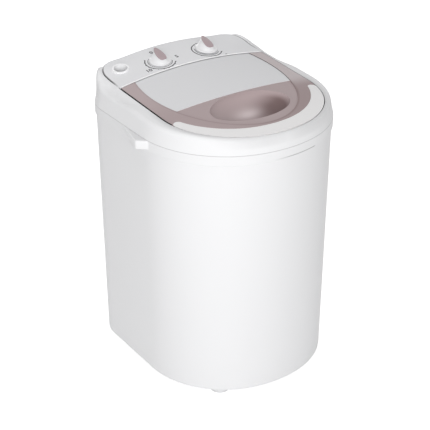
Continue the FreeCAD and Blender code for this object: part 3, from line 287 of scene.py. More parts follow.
def panel_shadow_lines(finish):
    """Painted shadow line inside the panel's ends."""
    x, y = finish.axes()[:2]
    reach = distance((abs(x) - PANEL_TURN.x).at_least(0.0), (y - PANEL_TURN.y).at_least(0.0))
    ends = finish.ease(abs(x), *PANEL_LINE_X) * finish.ease(y, *PANEL_LINE_Y)
    return PANEL_LINE_SHARE * ends * finish.ease(reach - PANEL_CORNER, *PANEL_LINE)


# Materials

# Colour of dark seams and of painted shade in gaps and along edges.
LINE_AND_SHADE_DARK = (0.018, 0.014, 0.014)
FINE_GRAIN = 1500.0
TINT_GRAIN = 2600.0


def shade(colour, factor):
    """The same colour, darker or lighter."""
    return tuple(channel * factor for channel in colour)


def moulded_plastic(name, colour, rough, grain=FINE_GRAIN, relief=0.05, coat=0.0, shine=0.4, lines=None):
    """Moulded plastic: broad drift of tone, fine eroded grain, dark lines with painted shade, and painted
    shade on faces in a narrow gap.
    """
    finish = Finish(name)
    drift = finish.noise(scale=4.0, detail=1.0)
    base = finish.blend(drift, shade(colour, 0.97), colour)
    # Lines add dark seams and painted shade; faces marked gap take painted shade.
    if lines:
        base = finish.blend(lines(finish), base, LINE_AND_SHADE_DARK)
    finish.wear(Base_Color=finish.blend(finish.mark("gap"), base, LINE_AND_SHADE_DARK),
                Roughness=uneven(rough, 0.08, drift), Specular_IOR_Level=shine,
                Coat_Weight=coat, Coat_Roughness=0.12)
    finish.relief(finish.noise(grain), strength=relief, depth=0.2 * MM)
    return finish.material


def tinted_plastic(name, colour, deep, rough):
    """Tinted glossy plastic with a slow drift of tone."""
    finish = Finish(name)
    drift = finish.noise(scale=7.0)
    finish.wear(Base_Color=finish.blend(0.15 * drift, colour, deep), Roughness=uneven(rough, 0.06, drift),
                Coat_Weight=0.3, Coat_Roughness=0.1)
    finish.relief(finish.noise(TINT_GRAIN, detail=1.0), strength=0.03, depth=0.1 * MM)
    return finish.material


LID_DRIFT = 0.1
# Painted shade along the recess edge and towards the right front; painted reflection at the rear left and on
# the right strip.
RECESS_EDGE_SHADE = (1.008, 0.02)
RECESS_EDGE_SHADE_SHARE = 0.3
RECESS_PALE_SHARE = 0.06
SCOOP_SHADE = 0.8
FRONT_RIGHT_SHADE = {"x": span(-70, 80), "y": span(0, -80), "share": 0.3}
REAR_LEFT_REFLECTION = {"x": span(-60, -145), "y": span(-60, 60), "share": 0.22}
RIGHT_STRIP_REFLECTION = {"x": span(85, 115), "y": span(-62, -20), "share": 0.65}
STRIP_REFLECTION_GREY = (0.62, 0.57, 0.575)


def lid_tint(name, colour, deep, pale, rough):
    """The lid's tint, with painted shade along the recess edge, towards the right front and in the scoop,
    painted reflection at its rear left and on its right strip, a painted highlight on the scoop's floor, and
    a painted shade line at its left edge.
    """
    finish = Finish(name)
    drift = finish.noise(scale=7.0)
    x, y = finish.axes()[:2]
    oval = distance(x / RECESS_HALF.x, (y - RECESS_Y) / RECESS_HALF.y)
    band = RECESS_EDGE_SHADE_SHARE * stripe(oval, *RECESS_EDGE_SHADE)
    outside = oval > 1.0
    # Random drift of tone, painted shade along the recess edge, and painted shade towards the right front
    # outside the recess.
    base = finish.blend(LID_DRIFT * drift + band + outside * finish.patch(x, y, FRONT_RIGHT_SHADE), colour, deep)
    # Painted reflection paler at the rear left, and a little paler inside the recess.
    base = finish.blend(finish.patch(x, y, REAR_LEFT_REFLECTION) + RECESS_PALE_SHARE * (1.0 - outside), base, pale)
    # Painted reflection: the right strip pales towards grey.
    base = finish.blend(outside * finish.patch(x, y, RIGHT_STRIP_REFLECTION), base, STRIP_REFLECTION_GREY)
    # Painted shade in the scoop's right end and painted highlight on its floor, from the marks on the mesh.
    base = finish.blend(finish.mark("hollow"), base, shade(deep, SCOOP_SHADE))
    base = finish.blend(finish.mark("pale"), base, pale)
    # Painted shade line in the gap along the lid's left edge.
    edge = (lid_reach(x, y) > LID_SIDE_RADIUS - LID_EDGE_SHADE_LINE) * (x < 0.0) * (y > TRIM_REAR_Y)
    base = finish.blend(edge, base, LINE_AND_SHADE_DARK)
    finish.wear(Base_Color=finish.blend(finish.mark("gap"), base, LINE_AND_SHADE_DARK),
                Roughness=uneven(rough, 0.06, drift), Specular_IOR_Level=0.2)
    finish.relief(finish.noise(TINT_GRAIN, detail=1.0), strength=0.03, depth=0.1 * MM)
    return finish.material


CUP_TOP = 520.5 * MM
CUP_SHADOW = span(-5, -10)


def cup_plastic(name, colour, inner_shadow):
    """White plastic of a cup with painted shadow inside it, below its top."""
    finish = Finish(name)
    drift = finish.noise(scale=4.0, detail=1.0)
    depth = finish.ease(finish.axes()[2] - CUP_TOP, *CUP_SHADOW)
    finish.wear(Base_Color=finish.blend(depth, colour, inner_shadow), Roughness=uneven(0.38, 0.08, drift))
    finish.relief(finish.noise(FINE_GRAIN), strength=0.05, depth=0.2 * MM)
    return finish.material


def turned_metal(name, colour, rough, stretch):
    """Metal with fine tool lines along one way."""
    finish = Finish(name)
    lines = finish.noise(scale=300.0, detail=3.0, stretch=stretch)
    stain = finish.noise(scale=25.0, detail=3.0)
    finish.wear(Base_Color=finish.blend(stain, shade(colour, 0.82), colour), Metallic=1.0,
                Roughness=uneven(rough, 0.2, lines))
    finish.relief(lines, strength=0.12, depth=0.1 * MM)
    return finish.material


def matt_rubber(name, colour):
    """Dusty rubber with fine pores."""
    finish = Finish(name)
    dust = finish.noise(scale=60.0, detail=4.0)
    finish.wear(Base_Color=finish.blend(dust, shade(colour, 0.8), colour), Roughness=uneven(0.72, 0.2, dust))
    finish.relief(finish.noise(scale=900.0), strength=0.15, depth=0.15 * MM)
    return finish.material


def cast_coat(name, colour, metallic, rough):
    """Cast or painted metal with a pebbled skin."""
    finish = Finish(name)
    pebble = finish.node("ShaderNodeTexVoronoi", {"feature": "SMOOTH_F1"},
                         {"Vector": finish.place, "Scale": 420.0}, out="Distance")
    stain = finish.noise(scale=18.0, detail=4.0)
    finish.wear(Base_Color=finish.blend(stain, shade(colour, 0.78), colour), Metallic=metallic,
                Roughness=uneven(rough, 0.15, stain))
    finish.relief(pebble, strength=0.12, depth=0.2 * MM)
    return finish.material


def printed_ink(name, colour):
    """Screen print: thin ink with a slightly uneven cover."""
    finish = Finish(name)
    cover = finish.noise(scale=700.0)
    finish.wear(Base_Color=finish.blend(cover, shade(colour, 0.8), shade(colour, 1.2)),
                Roughness=uneven(0.55, 0.1, cover))
    return finish.material


SHELL_WHITE = moulded_plastic("shell_white", (0.80, 0.80, 0.81), rough=0.42, shine=0.3, lines=shell_lines_and_shade)
INLET_WHITE = cup_plastic("inlet_white", (0.93, 0.93, 0.94), inner_shadow=(0.07, 0.07, 0.072))
KNOB_WHITE = moulded_plastic("knob_white", (0.81, 0.81, 0.82), rough=0.3, coat=0.1)
# Brighter white of the panel's front bead: painted highlight.
BEAD_HIGHLIGHT_WHITE = moulded_plastic("bead_white", (0.96, 0.96, 0.97), rough=0.3)
TRIM_WHITE = moulded_plastic("trim_white", (0.84, 0.83, 0.83), rough=0.4, shine=0.25)
PANEL_GREY = moulded_plastic("panel_grey", (0.80, 0.80, 0.815), rough=0.5, grain=1100.0, relief=0.09,
                             shine=0.2, lines=panel_shadow_lines)
INLAY_GREY = moulded_plastic("inlay_grey", (0.735, 0.735, 0.75), rough=0.45, grain=1900.0, relief=0.04,
                             shine=0.2)
ROSE_TINT = lid_tint("rose_tint", (0.42, 0.338, 0.341), deep=(0.18, 0.115, 0.112),
                     pale=(0.70, 0.61, 0.615), rough=0.42)
POINTER_ROSE = tinted_plastic("pointer_rose", (0.40, 0.31, 0.325), deep=(0.25, 0.19, 0.2), rough=0.3)
TUB_WHITE = moulded_plastic("tub_white", (0.78, 0.79, 0.80), rough=0.3, coat=0.15)
BASE_GREY = moulded_plastic("base_grey", (0.58, 0.58, 0.59), rough=0.5, grain=800.0, relief=0.1)
CASE_BLUE = moulded_plastic("capacitor_blue_grey", (0.035, 0.04, 0.055), rough=0.45)
FOOT_RUBBER = matt_rubber("foot_rubber", (0.86, 0.86, 0.87))
DARK_RUBBER = matt_rubber("dark_rubber", (0.014, 0.014, 0.015))
SHAFT_STEEL = turned_metal("shaft_steel", (0.56, 0.57, 0.59), rough=0.32, stretch=(1.0, 1.0, 40.0))
BUSH_BRASS = turned_metal("bush_brass", (0.62, 0.44, 0.18), rough=0.4, stretch=(1.0, 1.0, 30.0))
MOTOR_PAINT = cast_coat("motor_paint", (0.09, 0.095, 0.105), metallic=0.0, rough=0.495)
CAST_ALLOY = cast_coat("cast_alloy", (0.52, 0.53, 0.54), metallic=1.0, rough=0.455)
DIAL_INK = printed_ink("dial_ink", (0.035, 0.035, 0.038))

FINISHES = {
    SHELL_WHITE: ("outer_body", "upper_casing", "hinge_brackets"),
    INLET_WHITE: ("water_inlet",),
    KNOB_WHITE: ("timer_knob", "selector_knob"),
    TRIM_WHITE: ("lid_frame",),
    PANEL_GREY: ("control_panel",),
    INLAY_GREY: ("lid_inlay",),
    ROSE_TINT: ("lid_cover",),
    POINTER_ROSE: ("timer_pointer", "selector_pointer"),
    TUB_WHITE: ("wash_tub", "pulsator"),
    BASE_GREY: ("base_cover", "driven_pulley", "drain_pipe", "drain_outlet", "timer_body", "selector_body",
                "bearing_housing"),
    CASE_BLUE: ("capacitor",),
    FOOT_RUBBER: ("rubber_feet",),
    DARK_RUBBER: ("tub_rim_seal", "shaft_seal", "drive_belt", "cord_gland"),
    SHAFT_STEEL: ("hinge_pins", "base_screws", "housing_screws", "motor_screws", "pulsator_screw",
                  "drive_shaft", "motor_shaft", "pulley_nut", "timer_shaft", "selector_shaft"),
    BUSH_BRASS: ("shaft_bushes",),
    MOTOR_PAINT: ("motor_stator", "motor_rotor", "motor_bracket"),
    CAST_ALLOY: ("motor_end_caps", "motor_pulley"),
}
FINISH_OF = {node: finish for finish, nodes in FINISHES.items() for node in nodes}
for node, solid in frame["nodes"].items():
    solid.data.materials.clear()
    solid.data.materials.append(FINISH_OF[node])


# Pieces and their meshes

CREASE = math.radians(28)
SAME_POINT = 0.004 * MM


def carry(piece, body):
    """Put a piece in the scene and let it move with a body."""
    scene.collection.objects.link(piece)
    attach(piece, body)
    return piece


def stand_for(piece, node):
    """Let a piece take the place of a CAD node."""
    carry(piece, BODY_OF[node])
    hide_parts(node)
    return piece


def open_form(mesh):
    """An editable form of a mesh."""
    form = bmesh.new()
    form.from_mesh(mesh)
    return form


def close_form(form, mesh):
    """Write a form into a mesh."""
    form.to_mesh(mesh)
    form.free()
    return mesh


def set_creases(form):
    """Smooth curves and crisp creases."""
    for face in form.faces:
        face.smooth = True
    for edge in form.edges:
        edge.smooth = len(edge.link_faces) == 2 and edge.calc_face_angle(0.0) < CREASE


def soft_copy(node):
    """The CAD node's shape with shared points, smooth curves and crisp creases, in place of the node."""
    form = open_form(frame["nodes"][node].data)
    bmesh.ops.remove_doubles(form, verts=form.verts, dist=SAME_POINT)
    set_creases(form)
    mesh = close_form(form, bpy.data.meshes.new(node + "_skin"))
    mesh.materials.append(FINISH_OF[node])
    return stand_for(bpy.data.objects.new(node + "_skin", mesh), node)


def surface(*pieces):
    """Search tree over the faces of some pieces."""
    points, faces = [], []
    for piece in pieces:
        start = len(points)
        points += [vertex.co.copy() for vertex in piece.data.vertices]
        faces += [[start + index for index in polygon.vertices] for polygon in piece.data.polygons]
    return BVHTree.FromPolygons(points, faces)


# Rear corners of the top moulding

TOP_Z = span(488, 508)
CORNER_RISE = 5.4 * MM
CORNER_SIDE = span(85, 158)
CORNER_Y = span(122, 174)
RAIL_DROP = 5.5 * MM
RAIL_SIDE = span(151, 160)
RAIL_START_Y = span(10, 80)
RAIL_END_Y = span(150, 105)
REAR_DROP = 1.6 * MM
REAR_SIDE = span(170, 90)
REAR_Y = span(158, 188)
SHOULDER_OUT = 4.8 * MM
SHOULDER_RISE = 3.4 * MM
SHOULDER_REACH = span(0.5, 2.8)
SHOULDER_Z = span(484, 512)
SIDE_CUTS = [(95 + 9 * k) * MM for k in range(11)]
DEPTH_CUTS = [(10 + 9 * k) * MM for k in range(20)]
HEIGHT_CUTS = [(488 + 7 * k) * MM for k in range(4)]
CUT_SNAP = 0.001 * MM


def corner_lift(point):
    """How far the top moulding rises at its full rear corners, and dips on the rails and its rear edge."""
    side = abs(point.x)
    rise = CORNER_RISE * ease(side, *CORNER_SIDE) * ease(point.y, *CORNER_Y)
    rail = RAIL_DROP * ease(side, *RAIL_SIDE) * ease(point.y, *RAIL_START_Y) * ease(point.y, *RAIL_END_Y)
    rear_edge = REAR_DROP * ease(side, *REAR_SIDE) * ease(point.y, *REAR_Y)
    return Vector((0.0, 0.0, ease(point.z, *TOP_Z) * (rise - rail - rear_edge)))


def shoulder_push(point):
    """How far the shoulder outside the panel's rear corners stands out and up."""
    away = Vector((max(abs(point.x) - PANEL_TURN.x, 0.0), max(point.y - PANEL_TURN.y, 0.0), 0.0))
    reach = away.length
    if reach < PANEL_CORNER:
        return Vector()
    diagonal = 2 * away.x * away.y / reach ** 2
    share = diagonal * ease(reach - PANEL_CORNER, *SHOULDER_REACH) * ease(point.z, *SHOULDER_Z)
    away.x = math.copysign(away.x, point.x)
    return (away / reach * SHOULDER_OUT + Vector((0.0, 0.0, SHOULDER_RISE))) * share


def fill_corners(piece):
    """Cut the moulding finely round its rear corners, then lift and dip it there."""
    form = open_form(piece.data)
    cuts = [Vector((sign * x, 0.0, 0.0)) for x in SIDE_CUTS for sign in (-1, 1)]
    cuts += [Vector((0.0, y, 0.0)) for y in DEPTH_CUTS]
    cuts += [Vector((0.0, 0.0, z)) for z in HEIGHT_CUTS]
    for cut in cuts:
        bmesh.ops.bisect_plane(form, geom=form.verts[:] + form.edges[:] + form.faces[:], dist=CUT_SNAP,
                               plane_co=cut, plane_no=cut.normalized())
    for vertex in form.verts:
        vertex.co += shoulder_push(vertex.co) + corner_lift(vertex.co)
    set_creases(form)
    close_form(form, piece.data)


# Side lugs

LUG_TIP_Y = -26 * MM
LUG_TIP_DEPTH = 1 * MM
LUG_MERGE = 0.1 * MM
LUG_ROUND = 2.6 * MM


def round_lugs(piece):
    """Round the long edges of the side lugs."""
    form = open_form(piece.data)
    tip_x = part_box("outer_body")[1].x - LUG_TIP_DEPTH
    tips = [vertex for vertex in form.verts if abs(vertex.co.x) > tip_x]
    for vertex in tips:
        vertex.co.y = LUG_TIP_Y
    bmesh.ops.remove_doubles(form, verts=tips, dist=LUG_MERGE)
    lug = [edge for edge in form.edges if edge.calc_face_angle(0.0) > CREASE
           and any(abs(vertex.co.x) > tip_x for vertex in edge.verts)]
    bmesh.ops.bevel(form, geom=lug, offset=LUG_ROUND, segments=4, profile=0.5, affect="EDGES")
    set_creases(form)
    close_form(form, piece.data)


# Painted shade and highlight that the meshes carry

GAP_UPRIGHT = 0.55
GAP_REACH = 2.2 * MM
GAP_PROBE = 0.02 * MM
# Strengths of painted shade in gaps: faint, and full along the lid's left.
GAP_FAINT = 0.25
GAP_FULL = 1.0
WALL_SHADE = 0.75
WALL_UPRIGHT = 0.5
WALL_NEAR = 0.01
SCOOP_CENTRE = Vector((0.0, -80 * MM, 0.0))
SCOOP_HALF = Vector((78 * MM, 46 * MM, 0.0))
# Painted shade in the scoop's right end and painted highlight on its floor.
SCOOP_SHADE_AREA = {"share": 0.9, "edge": (0.0, 0.25), "across": (0.0, 0.6), "along": (0.95, 0.2)}
SCOOP_HIGHLIGHT_AREA = {"share": 0.85, "across": (0.05, 0.3), "along": (0.28, 0.24)}


def shade_gap(piece, facing, left_shade):
    """Mark painted shade on the upright faces that stand close to another piece, with its own strength at
    the lid's left.
    """
    mark = piece.data.attributes.new("gap", "FLOAT", "FACE")
    for polygon in piece.data.polygons:
        if abs(polygon.normal.z) < GAP_UPRIGHT:
            near = facing.find_nearest(polygon.center + polygon.normal * GAP_PROBE, GAP_REACH)
            left_side = polygon.center.x < 0 and TRIM_REAR_Y < polygon.center.y < LID_REAR_Y
            if near[0] is not None:
                mark.data[polygon.index].value = left_shade if left_side else GAP_FAINT


def mark_recess_wall(piece):
    """Painted shade line on the recess wall along the right of the inlay."""
    marks = piece.data.attributes["gap"].data
    for polygon in piece.data.polygons:
        x, y = polygon.center.x / RECESS_HALF.x, (polygon.center.y - RECESS_Y) / RECESS_HALF.y
        on_wall = abs(math.hypot(x, y) - 1) < WALL_NEAR and abs(polygon.normal.z) < WALL_UPRIGHT
        if on_wall and x > 0 and polygon.center.y > INLAY_FRONT_Y:
            marks[polygon.index].value = WALL_SHADE


def hump(value, centre, half):
    """1 at the centre, falling softly away to either side."""
    return math.exp(-((value - centre) / half) ** 2)


def paint_scoop_shade(piece):
    """Painted shade and highlight of the scoop at each point: painted shade deepest in its right end,
    painted highlight on its floor.
    """
    deep = piece.data.attributes.new("hollow", "FLOAT", "POINT")
    pale = piece.data.attributes.new("pale", "FLOAT", "POINT")
    for vertex in piece.data.vertices:
        across = (vertex.co.x - SCOOP_CENTRE.x) / SCOOP_HALF.x
        along = (vertex.co.y - SCOOP_CENTRE.y) / SCOOP_HALF.y
        inside = 1.0 - across * across - along * along
        if inside > 0.0:
            right_end = ease(across, *SCOOP_SHADE_AREA["across"]) * ease(along, *SCOOP_SHADE_AREA["along"])
            from_edge = ease(inside, *SCOOP_SHADE_AREA["edge"])
            deep.data[vertex.index].value = SCOOP_SHADE_AREA["share"] * from_edge * right_end
            on_floor = hump(across, *SCOOP_HIGHLIGHT_AREA["across"]) * hump(along, *SCOOP_HIGHLIGHT_AREA["along"])
            pale.data[vertex.index].value = SCOOP_HIGHLIGHT_AREA["share"] * on_floor


SKINS = ("outer_body", "upper_casing", "control_panel", "lid_frame", "lid_cover", "lid_inlay",
         "water_inlet", "rubber_feet", "wash_tub", "pulsator",
         "base_cover", "drain_outlet", "cord_gland", "hinge_brackets")
skins = {node: soft_copy(node) for node in SKINS}
round_lugs(skins["outer_body"])
for node in ("upper_casing", "control_panel", "water_inlet"):
    fill_corners(skins[node])
panel_surface = surface(skins["control_panel"])
# Painted shade in the gaps round the lid.
shade_gap(skins["upper_casing"], surface(skins["lid_frame"], skins["lid_cover"]), GAP_FAINT)
shade_gap(skins["lid_cover"], surface(skins["upper_casing"]), GAP_FULL)
paint_scoop_shade(skins["lid_cover"])
mark_recess_wall(skins["lid_cover"])


# Knobs

KNOB_SIDES = 72
KNOB_RADIUS = 20.2 * MM
KNOB_FOOT = 0.8 * MM
KNOB_RIM = 3.3 * MM
KNOB_ROUND = [span(0.0, 0.9), span(0.25, 0.35), span(0.9, 0.0)]
SKIRT_EDGE = 1.6 * MM
SEAT_RISE = 18 * MM
FLANK_STEPS = 14
FLANK_INWARD = 1.7
FLANK_RISE = 1.25
POINTER = {"long": 16.6 * MM, "wide": 7.6 * MM, "back": 2.0 * MM, "height": 13.2 * MM,
           "tilt": math.radians(14), "thick": 1.8 * MM}
POINTER_BLUNT = (0.72, 0.2)
POINTER_TAPER = (0.96, -0.28)
POINTER_ROUND = [span(0.0, 0.7), span(0.25, 0.2), span(0.9, 0.0)]


def circle(sides):
    """Angles of evenly spaced points round a circle."""
    return [2 * math.pi * k / sides for k in range(sides)]


def ring_skin(rows):
    """Closed skin over rings of equal count, from the first to the last, both ends capped."""
    form = bmesh.new()
    rings = [[form.verts.new(point) for point in row] for row in rows]
    count = len(rings[0])
    for lower, upper in zip(rings, rings[1:]):
        for k in range(count):
            form.faces.new((lower[k], lower[(k + 1) % count], upper[(k + 1) % count], upper[k]))
    form.faces.new(rings[0][::-1])
    form.faces.new(rings[-1])
    bmesh.ops.recalc_face_normals(form, faces=form.faces)
    return form


def knob_piece(name, rows, place, material):
    """A piece of a knob, in its place, with smooth curves and crisp creases."""
    form = ring_skin(rows)
    set_creases(form)
    mesh = close_form(form, bpy.data.meshes.new(name))
    mesh.transform(place)
    mesh.materials.append(material)
    return bpy.data.objects.new(name, mesh)


def knob_place(joint):
    """Where a knob stands on the panel, with +Z along its axis."""
    up = -Vector(JOINTS[joint]["axis"])
    spot = Vector(JOINTS[joint]["pos_m"]) + up * SEAT_RISE
    return Matrix.Translation(spot) @ Vector((0, 0, 1)).rotation_difference(up).to_matrix().to_4x4()


def pointer_outline(inset, lift):
    """Leaf-shaped outline of the slanted pointer face, narrow at its raised end."""
    points = []
    tilt = POINTER["tilt"]
    for angle in circle(KNOB_SIDES):
        along = (POINTER["long"] - inset) * math.sin(angle) + POINTER["back"]
        bluntness = POINTER_BLUNT[0] + POINTER_BLUNT[1] * math.sin(angle)
        taper = POINTER_TAPER[0] + POINTER_TAPER[1] * math.sin(angle)
        blunt = math.copysign(abs(math.cos(angle)) ** bluntness, math.cos(angle))
        points.append(((POINTER["wide"] - inset) * blunt * taper,
                       along * math.cos(tilt) - lift * math.sin(tilt),
                       POINTER["height"] + along * math.sin(tilt) + lift * math.cos(tilt)))
    return points


def knob_ring(radius, height):
    """A level ring round the knob's axis."""
    return [(radius * math.cos(angle), radius * math.sin(angle), height) for angle in circle(KNOB_SIDES)]


def flank_ring(skirt, edge, share):
    """A ring part of the way from the skirt to the pointer's edge, on a hollow flank."""
    inward = 1 - (1 - share) ** FLANK_INWARD
    rise = share ** FLANK_RISE
    return [(s[0] + (e[0] - s[0]) * inward, s[1] + (e[1] - s[1]) * inward, s[2] + (e[2] - s[2]) * rise)
            for s, e in zip(skirt, edge)]


def dial_knob(dial, joint):
    """White knob: flat skirt drawn up in a hollow flank to the slanted pointer, and the tinted pointer."""
    place = knob_place(joint)
    edge = pointer_outline(0.0, 0.0)
    skirt = knob_ring(KNOB_RADIUS - SKIRT_EDGE, KNOB_RIM)
    rows = [knob_ring(KNOB_RADIUS, KNOB_FOOT)]
    rows += [knob_ring(KNOB_RADIUS - inset, KNOB_RIM - drop) for inset, drop in KNOB_ROUND]
    rows += [flank_ring(skirt, edge, step / FLANK_STEPS) for step in range(FLANK_STEPS + 1)]
    stand_for(knob_piece(dial + "_knob_skin", rows, place, KNOB_WHITE), dial + "_knob")
    rows = [edge] + [pointer_outline(inset, POINTER["thick"] - drop) for inset, drop in POINTER_ROUND]
    stand_for(knob_piece(dial + "_pointer_skin", rows, place, POINTER_ROSE), dial + "_pointer")


dial_knob("timer", "timer_turn")
dial_knob("selector", "selector_turn")


# Printed dials

ARC_STEPS = 72
PRINT_HEIGHT = 0.12 * MM
PRINT_LIFT = 0.05 * MM
PRINT_MERGE = 0.001 * MM
NUMERAL = 12 * MM
NUMERAL_SWELL = 0.3 * MM
INNER_RING = 21.8 * MM
OUTER_RING = 27 * MM
THIN_LINE = 0.9 * MM
BOLD_LINE = 1.8 * MM
TICK = 2.0 * MM
DIAL_DROP = 4 * MM
HIGH_ABOVE = 1.0


def geometry_tree(name, inputs):
    """Empty Geometry Nodes tree with named number inputs, and the wires of those inputs."""
    tree = bpy.data.node_groups.new(name, "GeometryNodeTree")
    tree.interface.new_socket("Geometry", in_out="OUTPUT", socket_type="NodeSocketGeometry")
    for title in inputs:
        kind = "NodeSocketInt" if title == "Count" else "NodeSocketFloat"
        tree.interface.new_socket(title, in_out="INPUT", socket_type=kind)
    board = Board(tree)
    return board, dict(zip(inputs, board.node("NodeGroupInput", out=inputs)))


def close_tree(board, shape, material):
    """End a tree in real geometry with its material."""
    real = board.node("GeometryNodeRealizeInstances", sockets={"Geometry": shape})
    inked = board.node("GeometryNodeSetMaterial", sockets={"Geometry": real, "Material": material})
    board.node("NodeGroupOutput", sockets={"Geometry": inked}, out=())
    return board.tree


def grown_mesh(name, tree, sizes):
    """Plain mesh of what a tree makes with these sizes."""
    holder = bpy.data.objects.new(name, bpy.data.meshes.new(name + "_seed"))
    modifier = holder.modifiers.new("grow", "NODES")
    modifier.node_group = tree
    for item in tree.interface.items_tree:
        if item.in_out == "INPUT":
            modifier[item.identifier] = sizes[item.name]
    return plain_mesh(holder)


def plain_mesh(holder):
    """Mesh of an object's finished shape; the object itself is dropped."""
    scene.collection.objects.link(holder)
    mesh = bpy.data.meshes.new_from_object(holder.evaluated_get(bpy.context.evaluated_depsgraph_get()))
    bpy.data.objects.remove(holder)
    return mesh


def dial_scale_tree():
    """Printed scale: an arc with evenly spaced ticks outside it."""
    board, size = geometry_tree(
        "dial_scale", ("Count", "Radius", "Line", "Height", "Start", "Sweep", "Tick"))
    arc = board.node("GeometryNodeCurveArc", {"mode": "RADIUS"}, {
        "Resolution": ARC_STEPS, "Radius": size["Radius"], "Start Angle": size["Start"],
        "Sweep Angle": size["Sweep"]})
    stroke = board.node("GeometryNodeCurvePrimitiveQuadrilateral",
                        sockets={"Width": size["Line"], "Height": size["Height"]})
    ring = board.node("GeometryNodeCurveToMesh",
                      sockets={"Curve": arc, "Profile Curve": stroke, "Fill Caps": True})
    number = board.node("GeometryNodeInputIndex")
    angle = size["Start"] + size["Sweep"] * number / (size["Count"] - 1)
    reach = size["Radius"] + 0.5 * size["Tick"]
    place = board.node("ShaderNodeCombineXYZ",
                       sockets={"X": reach * angle.cosine(), "Y": reach * angle.sine()})
    spots = board.node("GeometryNodePoints", sockets={"Count": size["Count"], "Position": place})
    bar_size = board.node("ShaderNodeCombineXYZ", sockets={
        "X": size["Tick"], "Y": size["Line"], "Z": size["Height"]})
    bar = board.node("GeometryNodeMeshCube", sockets={"Size": bar_size})
    turn = board.node("ShaderNodeCombineXYZ", sockets={"Z": angle})
    ticks = board.node("GeometryNodeInstanceOnPoints",
                       sockets={"Points": spots, "Instance": bar, "Rotation": turn})
    both = board.node("GeometryNodeJoinGeometry", sockets={"Geometry": [ring, ticks]})
    return close_tree(board, both, DIAL_INK)


DIAL_SCALE = dial_scale_tree()


def numeral_mesh(text):
    """Flat numeral, centred on the origin."""
    curve = bpy.data.curves.new("numeral", "FONT")
    curve.body = text
    curve.size = NUMERAL
    curve.extrude = PRINT_HEIGHT / 2
    curve.offset = NUMERAL_SWELL
    curve.align_x = "CENTER"
    curve.align_y = "CENTER"
    curve.resolution_u = 3
    return plain_mesh(bpy.data.objects.new("numeral", curve))


def panel_height(x, y):
    """Height of the panel's top over a point of the plan."""
    return panel_surface.ray_cast(Vector((x, y, HIGH_ABOVE)), Vector((0.0, 0.0, -1.0)))[0].z


def lay_on_panel(mesh, centre):
    """Move a flat print to a place on the panel and let it follow the surface."""
    for vertex in mesh.vertices:
        vertex.co.x += centre.x
        vertex.co.y += centre.y
        vertex.co.z += panel_height(vertex.co.x, vertex.co.y) + PRINT_LIFT


def dial_centre(joint):
    """Where a knob's axis meets the panel, seen in plan."""
    pos = Vector(JOINTS[joint]["pos_m"])
    axis = Vector(JOINTS[joint]["axis"])
    return pos + axis * (PANEL_END.z - DIAL_DROP - pos.z) / axis.z


def o_clock(hours):
    """Angle of an hour on a clock face."""
    return math.radians(30.0 * hours)


def scale_sizes(radius, line, start, sweep, count, tick):
    """Sizes of one printed arc, with its start and sweep in degrees and its count of ticks."""
    return {"Count": count, "Radius": radius, "Line": line, "Height": PRINT_HEIGHT,
            "Start": math.radians(start), "Sweep": math.radians(sweep), "Tick": tick}


def dial_print(name, joint, scales, numerals):
    """Printed arcs round one knob, and numerals, each with its radius and its hour on a clock face."""
    prints = [grown_mesh(name + "_arc", DIAL_SCALE, sizes) for sizes in scales]
    for text, radius, hours in numerals:
        mesh = numeral_mesh(text)
        clock = o_clock(hours)
        mesh.transform(Matrix.Translation((radius * math.sin(clock), radius * math.cos(clock), 0.0)))
        prints.append(mesh)
    form = bmesh.new()
    for mesh in prints:
        form.from_mesh(mesh)
        bpy.data.meshes.remove(mesh)
    bmesh.ops.remove_doubles(form, verts=form.verts, dist=PRINT_MERGE)
    mesh = close_form(form, bpy.data.meshes.new(name))
    mesh.materials.clear()
    mesh.materials.append(DIAL_INK)
    lay_on_panel(mesh, dial_centre(joint))
    return carry(bpy.data.objects.new(name, mesh), "housing")


dial_print("timer_scale", "timer_turn",
           [scale_sizes(INNER_RING, THIN_LINE, start=120, sweep=215, count=2, tick=THIN_LINE),
            scale_sizes(OUTER_RING, BOLD_LINE, start=138, sweep=190, count=11, tick=TICK)],
           [("0", 36 * MM, 0.2), ("5", 35 * MM, 3), ("10", 37 * MM, 8.1)])
dial_print("selector_scale", "selector_turn",
           [scale_sizes(INNER_RING, THIN_LINE, start=150, sweep=170, count=2, tick=THIN_LINE),
            scale_sizes(OUTER_RING, BOLD_LINE, start=108, sweep=220, count=3, tick=TICK)],
           [("-", 30 * MM, 11.8), ("-", 36 * MM, 4.6)])


# Bead at the panel's front: a rounded edge that catches light, in a brighter white as painted highlight

BEAD_RADIUS = 0.9 * MM
BEAD_END = 3 * MM
BEAD_FORWARD = 0.2 * MM
BEAD_PROBE = 2 * MM
BEAD_STEPS = 96
BEAD_SIDES = 10


def panel_bead():
    """Rounded edge along the panel's front, following its crown, in a brighter white that paints its
    highlight.
    """
    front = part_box("control_panel")[0].y
    middle_y = front + BEAD_FORWARD
    half = PANEL_END.x - BEAD_END
    rows = []
    for step in range(BEAD_STEPS + 1):
        x = -half + 2 * half * step / BEAD_STEPS
        z = panel_height(x, front + BEAD_PROBE) - 0.5 * BEAD_RADIUS
        rows.append([(x, middle_y + BEAD_RADIUS * math.cos(angle), z + BEAD_RADIUS * math.sin(angle))
                     for angle in circle(BEAD_SIDES)])
    form = ring_skin(rows)
    for face in form.faces:
        face.smooth = len(face.verts) == 4
    mesh = close_form(form, bpy.data.meshes.new("panel_bead"))
    mesh.materials.append(BEAD_HIGHLIGHT_WHITE)
    return carry(bpy.data.objects.new("panel_bead", mesh), "housing")


panel_bead()


# Camera, floor and studio light

